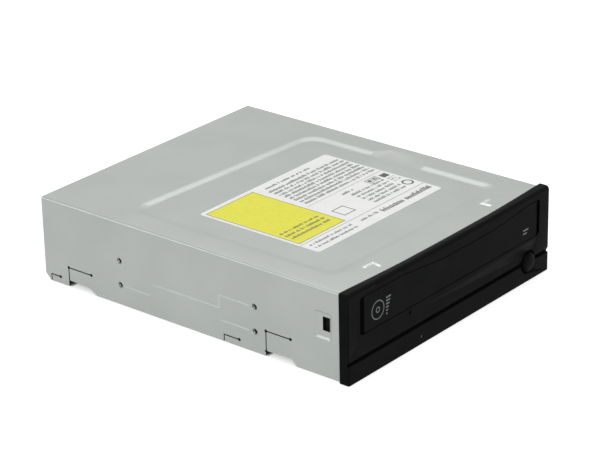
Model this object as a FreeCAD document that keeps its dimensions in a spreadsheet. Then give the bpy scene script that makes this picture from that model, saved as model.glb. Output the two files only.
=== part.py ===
import FreeCAD, Part
import math
import operator
import os
import Sketcher

# An internal DVD writer, half height, in millimetres.
# X runs right as seen from the front, Y runs back, Z runs up.
# Pieces are drawn from the bezel's back plane (y = 0), the underside of the
# housing (z = 0) and the middle of its width, and then moved together, so that
# the origin is the middle of the four holes in the underside.

# A size is a number, or a share of another size and what is added to it.
DRIVING = {
    # housing
    "body_width": 146.0,
    "body_height": 41.3,
    "body_depth": 174.0,
    "sheet": 0.8,
    "fold_radius": 1.2,
    "side_lower_edge": 0.4,
    "rear_split": 15.0,
    # fixing holes
    "front_hole": 47.4,
    "hole_pitch": 79.25,
    "low_hole": 10.0,
    "high_hole": 21.84,
    "bottom_hole_spread": ("body_width", 1, -6.3),
    "thread_radius": 1.3,
    "screw_room": 2.4,
    # slits and steps of the side sheets
    "slit": 0.55,
    "front_tab_start": 27.4,
    "front_tab_end": 40.8,
    "front_tab_top": 12.6,
    "rear_tab_start": ("body_depth", 1, -29.4),
    "rear_tab_end": ("body_depth", 1, -15.4),
    "rear_tab_top": 10.1,
    "tab_bottom": 3.2,
    "small_tab_top": 4.0,
    "front_small_start": 56.3,
    "front_small_end": 64.8,
    "rear_small_start": ("body_depth", 1, -9.5),
    "rear_small_end": ("body_depth", 1, -4),
    # sunken panel of the lid
    "panel_depth": 0.8,
    "panel_slope": 3.4,
    "panel_side": ("body_width", 0.5, -12.5),
    "panel_front": 13.0,
    "panel_rear": ("body_depth", 1, -42.5),
    # bezel
    "bezel_width": ("body_width", 1, 2.2),
    "bezel_bottom": 0.3,
    "bezel_top": 42.1,
    "bezel_dip": 0.8,
    "bezel_thick": 5.0,
    "bezel_wall": 1.9,
    "groove_low": 9.0,
    "groove_high": 12.1,
    "groove_depth": 1.1,
    "clip_window_width": 3.9,
    "clip_window_height": 6.5,
    "clip_window_y": 7.9,
    "clip_window_z": 25.0,
    "clip_thick": 1.4,
    # tray door
    "door_side": ("body_width", 0.5, -6.8),
    "door_bottom": 20.7,
    "door_top": 38.1,
    "door_step": 2.7,
    "door_gap": 0.3,
    "door_thick": 3.2,
    "door_bevel": 2.6,
    # eject button, light and release hole
    "button_x": ("body_width", 0.5, -15.4),
    "button_z": 9.9,
    "button_radius": 4.5,
    "button_proud": 1.3,
    "button_travel": 0.8,
    "button_ring": 1.2,
    "release_x": -31.5,
    "release_z": 18.4,
    "light_x": -23.0,
    "light_z": 3.7,
    "light_radius": 0.8,
    # disc and tray
    "disc_y": 72.0,
    "disc_radius": 60.0,
    "small_disc_radius": 40.0,
    "tray_side": ("body_width", 0.5, -8.2),
    "tray_floor": 26.5,
    "tray_skin": 1.5,
    "tray_rim": ("tray_floor", 1, 3.5),
    "tray_edge_top": ("tray_floor", 1, 5.9),
    "tray_end": ("body_depth", 1, -11),
    "slot_side": 22.0,
    "slot_end": 139.0,
    # loader gears
    "tooth": 1.0,
    "drive_gear_x": -38.0,
    "gear_y": 18.0,
    "rack_pinion_teeth": 16.0,
    "drive_teeth": 26.0,
    "pulley_teeth": 12.0,
    "belt_run": 27.0,
    "pulley_radius": 10.2,
    "motor_pulley_radius": 2.4,
    "belt_thick": 1.2,
    "post_radius": 1.5,
    "running_gap": 0.05,
    "deck_top": ("tray_floor", 1, -8.9),
    "deck_thick": 2.0,
    # loader frame
    "frame_side": ("body_width", 0.5, -2.1),
    "frame_wall": 2.0,
    "frame_start": 12.5,
    "frame_end": ("body_depth", 1, -8),
    "rail_top": ("tray_floor", 1, -0.3),
    "lip_under": ("tray_floor", 1, 6.4),
    "lip_top": ("lip_under", 1, 1.6),
    # clamper
    "bridge_thick": 1.0,
    "bridge_hole": 12.9,
    "clamper_bottom": ("tray_floor", 1, 4.5),
    "clamper_radius": 12.4,
    "clamper_flange": 15.4,
    # traverse, level
    "tilt": 4.0,
    "pivot_y": ("body_depth", 1, -16),
    "pivot_z": 16.0,
    "pivot_radius": 2.0,
    "lift_side": 45.0,
    "lift_bottom": 11.5,
    "lift_top": 15.0,
    "chassis_top": 18.0,
    "chassis_thick": 1.0,
    "disc_level": 29.2,
    "turntable_radius": 14.5,
    "shaft_radius": 1.5,
    "rod_x": 25.0,
    "rod_z": 21.0,
    "rod_radius": 1.5,
    "rod_start": 84.0,
    "rod_end": 154.0,
    "lens_inner": 24.0,
    "screw_x": 32.5,
    "screw_z": 20.2,
    # cam
    "cam_front": 37.5,
    "cam_thick": 3.0,
    "cam_travel": 16.0,
    "cam_pin_x": 15.0,
    "cam_pin_radius": 1.4,
    # boards
    "board_bottom": 2.8,
    "board_thick": 1.6,
    "board_front": ("body_depth", 1, -74),
    "board_rear": ("body_depth", 1, -3),
    "board_side": ("body_width", 0.5, -11),
}

OPERATIONS = {"+": operator.add, "-": operator.sub, "*": operator.mul, "/": operator.truediv}


class Size:
    """A length known both as a number and as a formula on the sheet."""

    def __init__(self, number, text):
        self.number = number
        self.text = text

    def __add__(self, other):
        return joined(self, "+", other)

    def __radd__(self, other):
        return joined(other, "+", self)

    def __sub__(self, other):
        return joined(self, "-", other)

    def __rsub__(self, other):
        return joined(other, "-", self)

    def __mul__(self, other):
        return joined(self, "*", other)

    def __rmul__(self, other):
        return joined(other, "*", self)

    def __truediv__(self, other):
        return joined(self, "/", other)

    def __neg__(self):
        return joined(0, "-", self)


def driven(name):
    """The number of a driving size, worked out where it hangs on another one."""
    value = DRIVING[name]
    if isinstance(value, tuple):
        base, share, more = value
        return driven(base) * share + more
    return value


def cell(value):
    """What the sheet's cell of a driving size holds."""
    if isinstance(value, tuple):
        base, share, more = value
        return f"={base} * {share} + ({more})"
    return str(value)


def number(value):
    return value.number if isinstance(value, Size) else float(value)


def text(value):
    return value.text if isinstance(value, Size) else repr(float(value))


def joined(first, sign, second):
    result = OPERATIONS[sign](number(first), number(second))
    return Size(result, f"({text(first)} {sign} {text(second)})")


def cosine(angle):
    return Size(math.cos(math.radians(angle.number)), f"cos({angle.text})")


def sine(angle):
    return Size(math.sin(math.radians(angle.number)), f"sin({angle.text})")


class Sheet:
    """The driving sizes by name, as cells of the document's spreadsheet."""

    def __init__(self, document):
        self.cells = document.addObject("Spreadsheet::Sheet", "Sizes")
        for row, (name, value) in enumerate(DRIVING.items(), 1):
            self.cells.set(f"A{row}", name)
            self.cells.set(f"B{row}", cell(value))
            self.cells.setAlias(f"B{row}", name)

    def __getattr__(self, name):
        return Size(driven(name), f"Sizes.{name}")


document = FreeCAD.newDocument("DvdWriter")
size = Sheet(document)
document.recompute()
nodes = []


def vector(x, y, z=0):
    return FreeCAD.Vector(number(x), number(y), number(z))


def bind(piece, name, value):
    """Sets a property and, where it is a formula, ties it to the sheet."""
    setattr(piece, name, number(value))
    if isinstance(value, Size):
        piece.setExpression(name, value.text)


# Sketches

PLANES = {"XY": ("XY_Plane", 1), "YZ": ("YZ_Plane", 1), "XZ": ("XZ_Plane", -1)}


def origin_part(body, role):
    return next(part for part in body.Origin.OriginFeatures if part.Role == role)


def constrain(sketch, kind, *arguments):
    value = arguments[-1]
    index = sketch.addConstraint(Sketcher.Constraint(kind, *arguments[:-1], number(value)))
    if isinstance(value, Size):
        sketch.setExpression(f"Constraints[{index}]", value.text)


def pin_point(sketch, geometry, point, x, y):
    constrain(sketch, "DistanceX", -1, 1, geometry, point, x)
    constrain(sketch, "DistanceY", -1, 1, geometry, point, y)


def draw_circle(sketch, x, y, radius):
    circle = sketch.addGeometry(Part.Circle(vector(x, y), vector(0, 0, 1), number(radius)))
    pin_point(sketch, circle, 3, x, y)
    constrain(sketch, "Radius", circle, radius)


def draw_outline(sketch, corners):
    """A closed outline: each corner is (x, y), or (x, y, radius) where it is rounded."""
    points = [vector(*corner[:2]) for corner in corners]
    radii = [number(corner[2]) if len(corner) > 2 else 0.0 for corner in corners]
    count = len(corners)
    starts = list(points)
    ends = list(points)
    arcs = [None] * count
    turns = [0.0] * count
    for i in range(count):
        if not radii[i]:
            continue
        back = (points[i - 1] - points[i]).normalize()
        on = (points[(i + 1) % count] - points[i]).normalize()
        half = back.getAngle(on) / 2
        reach = radii[i] / math.tan(half)
        starts[i] = points[i] + back * reach
        ends[i] = points[i] + on * reach
        centre = points[i] + (back + on).normalize() * (radii[i] / math.sin(half))
        turns[i] = (on.cross(back)).z
        first, last = (starts[i], ends[i]) if turns[i] > 0 else (ends[i], starts[i])
        middle = centre + (points[i] - centre).normalize() * radii[i]
        arcs[i] = Part.Arc(first, middle, last)
    lines = []
    for i in range(count):
        line = Part.LineSegment(ends[i], starts[(i + 1) % count])
        lines.append(sketch.addGeometry(line))
    for i in range(count):
        before, after = lines[i - 1], lines[i]
        if arcs[i] is None:
            sketch.addConstraint(Sketcher.Constraint("Coincident", before, 2, after, 1))
            pin_point(sketch, after, 1, corners[i][0], corners[i][1])
            continue
        arc = sketch.addGeometry(arcs[i])
        enter, leave = (1, 2) if turns[i] > 0 else (2, 1)
        tip = sketch.addGeometry(Part.Point(points[i]), True)
        pin_point(sketch, tip, 1, corners[i][0], corners[i][1])
        sketch.addConstraint(Sketcher.Constraint("PointOnObject", tip, 1, before))
        sketch.addConstraint(Sketcher.Constraint("PointOnObject", tip, 1, after))
        sketch.addConstraint(Sketcher.Constraint("Tangent", before, 2, arc, enter))
        sketch.addConstraint(Sketcher.Constraint("Tangent", arc, leave, after, 1))
        constrain(sketch, "Radius", arc, corners[i][2])


def sketch_on(body, plane, at, figures):
    """A sketch on one of the body's planes; a list is an outline, a tuple a circle."""
    role, direction = PLANES[plane]
    sketch = body.newObject("Sketcher::SketchObject", f"{body.Name}_sketch")
    sketch.AttachmentSupport = [(origin_part(body, role), "")]
    sketch.MapMode = "FlatFace"
    offset = at * direction
    sketch.AttachmentOffset = FreeCAD.Placement(vector(0, 0, offset), FreeCAD.Rotation())
    if isinstance(offset, Size):
        sketch.setExpression("AttachmentOffset.Base.z", offset.text)
    for figure in figures:
        if isinstance(figure, list):
            draw_outline(sketch, figure)
        else:
            draw_circle(sketch, *figure)
    return sketch


def box(x0, y0, x1, y1, radius=None):
    """The outline of a rectangle, with its corners rounded by the radius if there is one."""
    corners = [(x0, y0), (x1, y0), (x1, y1), (x0, y1)]
    return [(x, y) if radius is None else (x, y, radius) for x, y in corners]


# Features

def new_body(name):
    body = document.addObject("PartDesign::Body", name)
    body.Label = name
    nodes.append(body)
    return body


def extrude(body, kind, plane, start, length, figures):
    feature = body.newObject(kind, f"{body.Name}_{kind[12:].lower()}")
    feature.Profile = sketch_on(body, plane, start, figures)
    bind(feature, "Length", length)
    document.recompute()
    return feature


def pad(body, plane, low, high, *figures):
    """Material between two coordinates along the plane's normal axis."""
    start = low if PLANES[plane][1] > 0 else high
    return extrude(body, "PartDesign::Pad", plane, start, high - low, figures)


def carve(body, plane, low, high, *figures):
    """A pocket between two coordinates, which has to take something away."""
    before = body.Shape.Volume
    start = high if PLANES[plane][1] > 0 else low
    feature = extrude(body, "PartDesign::Pocket", plane, start, high - low, figures)
    if body.Shape.Volume > before - 1e-4:
        raise ValueError(f"a pocket in {body.Label} takes nothing away")
    return feature


def turn(body, axis, *outline, groove=False):
    """A turned form. The outline is (radius, height) about Z, or about Y."""
    kind = "PartDesign::Groove" if groove else "PartDesign::Revolution"
    before = body.Shape.Volume if groove else 0
    feature = body.newObject(kind, f"{body.Name}_turned")
    sketch = sketch_on(body, "XZ" if axis == "Z" else "XY", 0, [list(outline)])
    feature.Profile = sketch
    feature.ReferenceAxis = (sketch, ["V_Axis"])
    feature.Angle = 360
    document.recompute()
    if groove and body.Shape.Volume > before - 1e-4:
        raise ValueError(f"a groove in {body.Label} takes nothing away")
    return feature


def loft(body, kind, plane, *sections):
    """A form between outlines that lie at given coordinates: (coordinate, outline)."""
    feature = body.newObject(kind, f"{body.Name}_loft")
    sketches = [sketch_on(body, plane, at, [outline]) for at, outline in sections]
    feature.Profile = sketches[0]
    feature.Sections = sketches[1:]
    feature.Ruled = True
    document.recompute()
    return feature


def soften(body, radius, chosen, kind="PartDesign::Fillet"):
    """Rounds or bevels the edges for which chosen(edge) is true."""
    document.recompute()
    base = body.Tip
    edges = [f"Edge{i}" for i, edge in enumerate(base.Shape.Edges, 1) if chosen(edge)]
    feature = body.newObject(kind, f"{body.Name}_{kind[12:].lower()}")
    feature.Base = (base, edges)
    bind(feature, "Radius" if kind.endswith("Fillet") else "Size", radius)
    document.recompute()
    return feature


def row_of(body, feature, axis, count, span):
    """Repeats a feature along an axis."""
    pattern = body.newObject("PartDesign::LinearPattern", f"{body.Name}_row")
    pattern.Originals = [feature]
    pattern.Direction = (origin_part(body, f"{axis}_Axis"), [""])
    bind(pattern, "Length", span)
    pattern.Occurrences = count
    body.Tip = pattern
    document.recompute()
    return pattern


def mirrored(body, *features):
    """Repeats features on the other side of the middle plane."""
    mirror = body.newObject("PartDesign::Mirrored", f"{body.Name}_mirror")
    mirror.Originals = list(features)
    mirror.MirrorPlane = (origin_part(body, "YZ_Plane"), [""])
    body.Tip = mirror
    document.recompute()
    return mirror


def solid_piece(name, shape):
    """A piece whose form comes from formulas that sketches can't hold."""
    piece = document.addObject("Part::Feature", name)
    piece.Label = name
    piece.Shape = shape
    nodes.append(piece)
    return piece


# Places

HOLES_MIDDLE = size.front_hole + size.hole_pitch / 2


def bind_base(piece, x, y, z):
    piece.Placement.Base = vector(x, y, z)
    for axis, value in zip("xyz", (x, y, z)):
        if isinstance(value, Size):
            piece.setExpression(f"Placement.Base.{axis}", value.text)


def place(piece, x=0, y=0, z=0):
    bind_base(piece, x, y - HOLES_MIDDLE, z)


def place_tilted(piece, x=0, y=0, z=0):
    """For the traverse, which hangs down in front about its rear pins."""
    back = y - size.pivot_y
    up = z - size.pivot_z
    turned = FreeCAD.Rotation(FreeCAD.Vector(1, 0, 0), size.tilt.number)
    piece.Placement = FreeCAD.Placement(FreeCAD.Vector(), turned)
    piece.setExpression("Placement.Rotation.Angle", size.tilt.text)
    y_turned = size.pivot_y + back * cosine(size.tilt) - up * sine(size.tilt)
    z_turned = size.pivot_z + back * sine(size.tilt) + up * cosine(size.tilt)
    bind_base(piece, x, y_turned - HOLES_MIDDLE, z_turned)


# Housing

half = size.body_width / 2
inside = half - size.sheet
rear_hole = size.front_hole + size.hole_pitch


def panel_outline(inset):
    """The lid's sunken panel; its rear edge runs a little askew, as on the real lid."""
    side = size.panel_side - inset
    return [
        (-side, size.panel_front + inset, 6),
        (side, size.panel_front + inset, 6),
        (side, size.panel_rear - 7 - inset, 9),
        (-side, size.panel_rear - inset, 9),
    ]


def lower_steps():
    """Notches in the lower edge of the side sheets, under the two wide tabs."""
    below = size.side_lower_edge - 2
    edge = size.side_lower_edge
    front = [
        (size.front_tab_start - 3.4, edge),
        (size.front_tab_start - 0.6, size.tab_bottom),
        (size.front_tab_end, size.tab_bottom - 0.3),
        (size.front_tab_end, below),
        (size.front_tab_start - 3.4, below),
    ]
    rear = [
        (size.rear_tab_start - 3, edge),
        (size.rear_tab_start + 1, size.tab_bottom - 0.4),
        (size.rear_tab_end, size.tab_bottom + 0.3),
        (size.rear_tab_end, below),
        (size.rear_tab_start - 3, below),
    ]
    return front, rear


def slit_outline(start, end, top):
    """An L-shaped slit: up from the lower edge at its rear end, then forward."""
    low = size.side_lower_edge - 1
    return [
        (start, top),
        (end + size.slit, top),
        (end + size.slit, low),
        (end, low),
        (end, top - size.slit),
        (start, top - size.slit),
    ]


def make_top_cover():
    """Lid and both sides, folded from one sheet, with a short rear flange."""
    body = new_body("top_cover")
    height = size.body_height
    channel = [
        (-half, size.side_lower_edge),
        (-inside, size.side_lower_edge),
        (-inside, height - size.sheet, 0.5),
        (inside, height - size.sheet, 0.5),
        (inside, size.side_lower_edge),
        (half, size.side_lower_edge),
        (half, height, size.fold_radius),
        (-half, height, size.fold_radius),
    ]
    pad(body, "XZ", 0, size.body_depth, channel)
    # The front edge of the lid bows out and lies in the bezel's rebate.
    lip = half - 5
    pad(body, "XY", height - size.sheet, height,
        [(-lip, 0), (0, -1.8, lip * lip / 1.85), (lip, 0), (lip, 0.5), (-lip, 0.5)])
    rear_inner = size.body_depth - size.sheet
    pad(body, "XZ", rear_inner, size.body_depth,
        box(-inside + 0.4, size.rear_split + 0.2, inside - 0.4, height - size.sheet / 2))
    front, rear = lower_steps()
    carve(body, "YZ", -half - 1, half + 1, front)
    carve(body, "YZ", -half - 1, half + 1, rear)
    slits = [
        (size.front_tab_start, size.front_tab_end, size.front_tab_top),
        (size.rear_tab_start, size.rear_tab_end, size.rear_tab_top),
        (size.front_small_start, size.front_small_end, size.small_tab_top),
        (size.rear_small_start, size.rear_small_end, size.small_tab_top),
    ]
    for start, end, top in slits:
        carve(body, "YZ", -half - 1, half + 1, slit_outline(start, end, top))
    # Round holes at the ends and corners of the slits.
    line = size.slit / 2
    ends = [(start, top - line, 0.75) for start, end, top in slits]
    corners = [(end + line, top - line, 0.75) for start, end, top in slits[:2]]
    foot = (size.front_tab_end + line, size.tab_bottom - 0.6, 0.75)
    carve(body, "YZ", -half - 1, half + 1, *ends, *corners, foot)
    # The lower rear corner is cut off round.
    corner = size.body_depth - 2.6
    carve(body, "YZ", -half - 1, half + 1, [
        (corner, size.side_lower_edge - 1),
        (size.body_depth + 1, size.side_lower_edge - 1),
        (size.body_depth + 1, size.side_lower_edge + 2.6),
        (size.body_depth, size.side_lower_edge + 2.6),
        (corner, size.side_lower_edge),
    ])
    # Threaded holes, each drawn inwards into a short collar and broken at its mouth.
    holes = [(y, z) for y in (size.front_hole, rear_hole) for z in (size.low_hole, size.high_hole)]
    collar = pad(body, "YZ", -inside - 0.1, -inside + 0.7, *[(y, z, 1.95) for y, z in holes])
    mirrored(body, collar)
    carve(body, "YZ", -half - 1, half + 1, *[(y, z, size.thread_radius) for y, z in holes])
    wide = half.number - 0.01
    mouth = size.thread_radius.number + 0.01
    soften(body, 0.35, lambda edge: abs(edge.CenterOfMass.x) > wide
           and abs(edge.BoundBox.ZLength - 2 * mouth) < 0.05
           and abs(edge.BoundBox.YLength - 2 * mouth) < 0.05, "PartDesign::Chamfer")
    # Pressed-in fields round the two windows that take the bezel's clips.
    y, z = size.clip_window_y, size.clip_window_z
    field = box(y - 3, z - 7, y + 6.5, z + 5.6, 1.4)
    floor = box(y - 2.2, z - 6.2, y + 5.7, z + 4.8, 0.8)
    bump = loft(body, "PartDesign::AdditiveLoft", "YZ", (-inside, field), (-inside + 0.5, floor))
    dent = loft(body, "PartDesign::SubtractiveLoft", "YZ", (-half, field), (-half + 0.5, floor))
    mirrored(body, bump, dent)
    carve(body, "YZ", -half - 1, half + 1,
          box(y - size.clip_window_width / 2, z - size.clip_window_height / 2,
              y + size.clip_window_width / 2, z + size.clip_window_height / 2))
    # Two small angles lanced into the lid behind its front edge.
    for sign in (-1, 1):
        carve(body, "XY", height - 0.35, height + 1, [
            (sign * 46.3, 8.9), (sign * 39.7, 8.9), (sign * 40.2, 3.6),
            (sign * 40.8, 3.6), (sign * 40.4, 8.3), (sign * 46.3, 8.3)])
    # The lid's panel is sunk on the outside and stands as much out on the inside.
    under = height - size.sheet
    loft(body, "PartDesign::AdditiveLoft", "XY",
         (under, panel_outline(-0.3)),
         (under - size.panel_depth, panel_outline(size.panel_slope)))
    loft(body, "PartDesign::SubtractiveLoft", "XY",
         (height, panel_outline(0)),
         (height - size.panel_depth, panel_outline(size.panel_slope)))
    place(body)


def make_bottom_cover():
    """Flat sheet under the boards, turned up at the rear around the sockets."""
    body = new_body("bottom_cover")
    side = inside - 0.3
    rear = size.body_depth - size.sheet
    pad(body, "XY", 0, size.sheet, box(-side, 0.3, side, size.body_depth, 2))
    pad(body, "XZ", rear, size.body_depth, box(-side + 2, 0, side - 2, size.rear_split - 0.2))
    pad(body, "YZ", -side, -side + size.sheet,
        [(66, 0.4), (138, 0.4), (136, 6), (68, 6)])
    pad(body, "YZ", side - size.sheet, side,
        [(66, 0.4), (138, 0.4), (136, 6), (68, 6)])
    spread = size.bottom_hole_spread / 2
    places = [(x, y) for x in (-spread, spread) for y in (size.front_hole, rear_hole)]
    pad(body, "XY", 0.4, size.sheet + 1.2, *[(x, y, size.thread_radius + 0.65) for x, y in places])
    carve(body, "XY", -1, size.sheet + 2, *[(x, y, size.thread_radius) for x, y in places])
    carve(body, "XY", -1, size.sheet + 1, *[(x, y, 1.7) for x, y in BOTTOM_SCREWS])
    # Cut-outs under the wide tabs of the sides.
    for sign in (-1, 1):
        for start, end in ((24, size.front_tab_end), (size.rear_tab_start - 3, size.rear_tab_end)):
            carve(body, "XY", -1, size.sheet + 1, [
                (sign * (side + 1), start), (sign * (side + 1), end),
                (sign * (side - 6), end, 1), (sign * (side - 6), start + 3, 1),
                (sign * side, start)])
    # Pressed shapes that stiffen the sheet: a ring under the loader, a bead on each
    # side of it, and a panel under the main board.
    pad(body, "XY", size.sheet - 0.1, size.sheet + 0.5, (0, 52, 27.2), (0, 52, 23.6))
    carve(body, "XY", -1, 0.5, (0, 52, 26.8), (0, 52, 24))
    panels = [(-52, 22, -45, 94), (45, 22, 52, 94), (-50, 108, 50, size.body_depth - 12)]
    for x0, y0, x1, y1 in panels:
        loft(body, "PartDesign::AdditiveLoft", "XY",
             (size.sheet, box(x0 - 0.2, y0 - 0.2, x1 + 0.2, y1 + 0.2, 3.2)),
             (size.sheet + 0.5, box(x0 + 0.9, y0 + 0.9, x1 - 0.9, y1 - 0.9, 2.1)))
        loft(body, "PartDesign::SubtractiveLoft", "XY",
             (0, box(x0, y0, x1, y1, 3)),
             (0.5, box(x0 + 1.1, y0 + 1.1, x1 - 1.1, y1 - 1.1, 1.9)))
    for x0, z0, x1, z1 in rear_windows():
        carve(body, "XZ", rear - 1, size.body_depth + 1, box(x0, z0, x1, z1))
    place(body)


REAR_SCREW_Y = size.body_depth - 40
BOTTOM_SCREWS = [(-half + 9, 8), (half - 9, 8),
                 (-half + 6.5, REAR_SCREW_Y), (half - 6.5, REAR_SCREW_Y)]


def make_bezel():
    """Moulded front: a walled shell with the door opening and clips at both sides."""
    body = new_body("bezel")
    wide = size.bezel_width / 2
    front = -size.bezel_thick
    pad(body, "XZ", front, 0, box(-wide, size.bezel_bottom, wide, size.bezel_top))
    # The top edge dips in the middle along a very large circle.
    sweep = (wide * wide) / (2 * size.bezel_dip)
    carve(body, "XZ", front - 1, 1, (0, size.bezel_top - size.bezel_dip + sweep, sweep))
    top = size.bezel_top.number
    soften(body, 1.9, lambda edge: edge.BoundBox.YMax < front.number + 0.01
           and edge.BoundBox.ZMin > top - 1.6)
    soften(body, 0.7, lambda edge: edge.BoundBox.YMax < front.number + 0.01
           and edge.BoundBox.XMax - edge.BoundBox.XMin < 0.01)
    # Rebate in which the bowed front edge of the lid lies.
    lip = half - 4.7
    carve(body, "XY", size.body_height - size.sheet - 0.05, size.bezel_top + 1,
          [(-lip, 0), (0, -2.4, lip * lip / 2.42), (lip, 0), (lip, 1), (-lip, 1)])
    # Door opening, with a raised arch over its middle.
    carve(body, "XZ", front - 1, 1, door_outline(0))
    # The band under the door leans back into a groove across the full width.
    carve(body, "YZ", -wide - 1, wide + 1, [
        (front - 1, size.groove_high),
        (front, size.groove_high),
        (front + size.groove_depth, size.groove_low + 0.9),
        (front + size.groove_depth, size.groove_low + 0.15),
        (front, size.groove_low),
        (front - 1, size.groove_low),
    ])
    # Hollow back, in two bays beside the button's well.
    hollow = [
        box(-wide + size.bezel_wall, size.bezel_bottom + size.bezel_wall,
            size.button_x - 8.5, size.door_bottom - 2, 1),
    ]
    carve(body, "XZ", front + 2.6, 1, *hollow)
    x, z = size.button_x, size.button_z
    carve(body, "XZ", front - 1, front + 1.5, (x, z, size.button_radius + size.button_ring))
    carve(body, "XZ", front, 1, (x, z, size.button_radius + 0.3))
    carve(body, "XZ", -1.6, 1, (x, z, size.button_radius + 1.6))
    carve(body, "XZ", front - 1, 1, (size.release_x, size.release_z, 0.8))
    carve(body, "XZ", front - 1, 1, (size.light_x, size.light_z, size.light_radius + 0.1))
    # Clips reach along the inside of the housing and snap into its windows.
    zc = size.clip_window_z
    yc = size.clip_window_y
    reach = yc + size.clip_window_width / 2 + 1.6
    arm_out = inside - 0.65
    arm = pad(body, "XY", zc - 4.6, zc + 4.6,
              [(-arm_out, -0.5), (-arm_out, reach - 1.5), (-arm_out + 0.6, reach),
               (-arm_out + size.clip_thick, reach), (-arm_out + size.clip_thick, -0.5)])
    nose = yc + size.clip_window_width / 2 - 0.2
    hook = pad(body, "XY", zc - 2.9, zc + 2.9,
               [(-arm_out + 0.2, yc - 1.7), (-half + 0.7, yc - 1.7), (-half + 0.7, yc - 0.9),
                (-arm_out + 0.2, nose)])
    mirrored(body, arm, hook)
    place(body)


def door_outline(shrink):
    """The door's front: level shoulders, and a lowered top edge in between."""
    side = size.door_side - shrink
    low = size.door_bottom + shrink
    high = size.door_top - shrink
    step = high - size.door_step
    return [
        (-side, low, 2.2),
        (side, low, 2.2),
        (side, high, 1.2),
        (58, high, 20),
        (30, step, 20),
        (-8, step, 20),
        (-36, high, 20),
        (-side, high, 1.2),
    ]


def make_tray_door():
    """Front strip of the tray, bevelled at both ends and hooked on from behind."""
    body = new_body("tray_door")
    front = -size.bezel_thick
    back = front + size.door_thick
    pad(body, "XZ", front, back, door_outline(size.door_gap))
    side = size.door_side - size.door_gap
    for sign in (-1, 1):
        carve(body, "XY", size.door_bottom - 1, size.door_top + 1, [
            (sign * (side - size.door_bevel), front),
            (sign * (side + 1), front + 0.95),
            (sign * (side + 1), front - 1),
            (sign * (side - size.door_bevel), front - 1),
        ])
    # Hooks that snap over the tray's front wall.
    for x in (-45, 0, 45):
        pad(body, "XY", size.door_bottom + 1.6, size.door_bottom + 2.8,
            [(x - 4, back - 0.5), (x + 4, back - 0.5), (x + 4, back + 3.6), (x - 4, back + 3.6)])
    place(body)


def make_eject_button():
    """Round cap with a domed face, a retaining collar and a stem to the switch."""
    body = new_body("eject_button")
    face = -size.bezel_thick - size.button_proud
    radius = size.button_radius
    turn(body, "Y",
         (0, face),
         (radius - 1.7, face + 0.05),
         (radius - 0.6, face + 0.3),
         (radius - 0.15, face + 0.6),
         (radius, face + 1.1),
         (radius, -1.5),
         (radius + 0.9, -1.5),
         (radius + 0.9, -0.7),
         (1.8, -0.7),
         (1.8, -0.1),
         (0, -0.1))
    place(body, size.button_x, 0, size.button_z)


def make_indicator_light():
    """Clear light pipe from the bezel's front to the small board behind it."""
    body = new_body("indicator_light")
    turn(body, "Y",
         (0, -size.bezel_thick + 0.1),
         (size.light_radius, -size.bezel_thick + 0.3),
         (size.light_radius, -2.2),
         (1.3, -2.2),
         (1.3, 3.35),
         (0, 3.35))
    place(body, size.light_x, 0, size.light_z)


def make_front_board():
    """Small board under the loader's deck, with the button's switch and the light."""
    body = new_body("front_board")
    under = size.deck_top - size.deck_thick
    pad(body, "XZ", 3.4, 4.6, box(size.light_x - 4, 1.2, size.button_x + 2.4, under - 0.1, 1))
    place(body)
    switch = new_body("eject_switch")
    x, z = size.button_x, size.button_z
    pad(switch, "XZ", 0.95, 3.4, box(x - 3, z - 3, x + 3, z + 3))
    pad(switch, "XZ", size.button_travel - 0.1, 1, (x, z, 1.6))
    soften(switch, 0.4, lambda edge: abs(edge.Length - 6) < 0.1 and edge.BoundBox.YMax < 0.96,
           "PartDesign::Chamfer")
    place(switch)


# Tray

def pitch_radius(teeth):
    return size.tooth * teeth / 2


RACK_X = size.drive_gear_x - pitch_radius(size.rack_pinion_teeth)
RACK_TOOTH_BASE = 1.25
FLANK = math.tan(math.radians(20))
BACKLASH = 0.12
LOW_LEVEL = size.deck_top.number + 0.4
MIDDLE_LEVEL = LOW_LEVEL + 2.8
HIGH_LEVEL = LOW_LEVEL + 5.2


def make_tray():
    """Disc tray: two round steps for the discs, a slot for the laser, a toothed rack."""
    body = new_body("tray")
    side = size.tray_side
    floor = size.tray_floor
    deck = floor + size.tray_skin
    start = -size.bezel_thick + size.door_thick + 0.3
    end = size.tray_end
    pad(body, "XY", floor, size.tray_rim, [
        (-side, start), (side, start), (side, end, 4), (-side, end, 4)])
    # Raised edges that run in the channels of the frame.
    for sign in (-1, 1):
        pad(body, "XY", floor, size.tray_edge_top,
            box(sign * (side - 2.6), start + 3, sign * side, end - 4) if sign > 0
            else box(-side, start + 3, -(side - 2.6), end - 4))
    centre = size.disc_y
    carve(body, "XY", deck, size.tray_rim + 5, (0, centre, size.disc_radius + 0.8))
    carve(body, "XY", deck - 0.6, size.tray_rim + 5, (0, centre, size.small_disc_radius + 1))
    # Finger recesses at the front corners of the disc.
    for sign in (-1, 1):
        carve(body, "XY", deck, size.tray_rim + 5, (sign * 47, centre - 47, 9))
    # Hole for the turntable, running back into the laser's slot.
    carve(body, "XY", floor - 1, size.tray_rim + 5, (0, centre, size.turntable_radius + 2.2))
    slot = size.slot_side
    carve(body, "XY", floor - 1, size.tray_rim + 5,
          box(-slot, centre + 4, slot, size.slot_end, 5))
    # Front wall behind the door, with windows for the door's hooks.
    pad(body, "XZ", start, start + 2.2,
        box(-side + 2, size.door_bottom + 1.2, side - 2, floor + 1))
    for x in (-45, 0, 45):
        carve(body, "XZ", start - 1, start + 3,
              box(x - 4.4, size.door_bottom + 1.3, x + 4.4, size.door_bottom + 3.2))
    make_rack(body)
    place(body)


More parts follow.
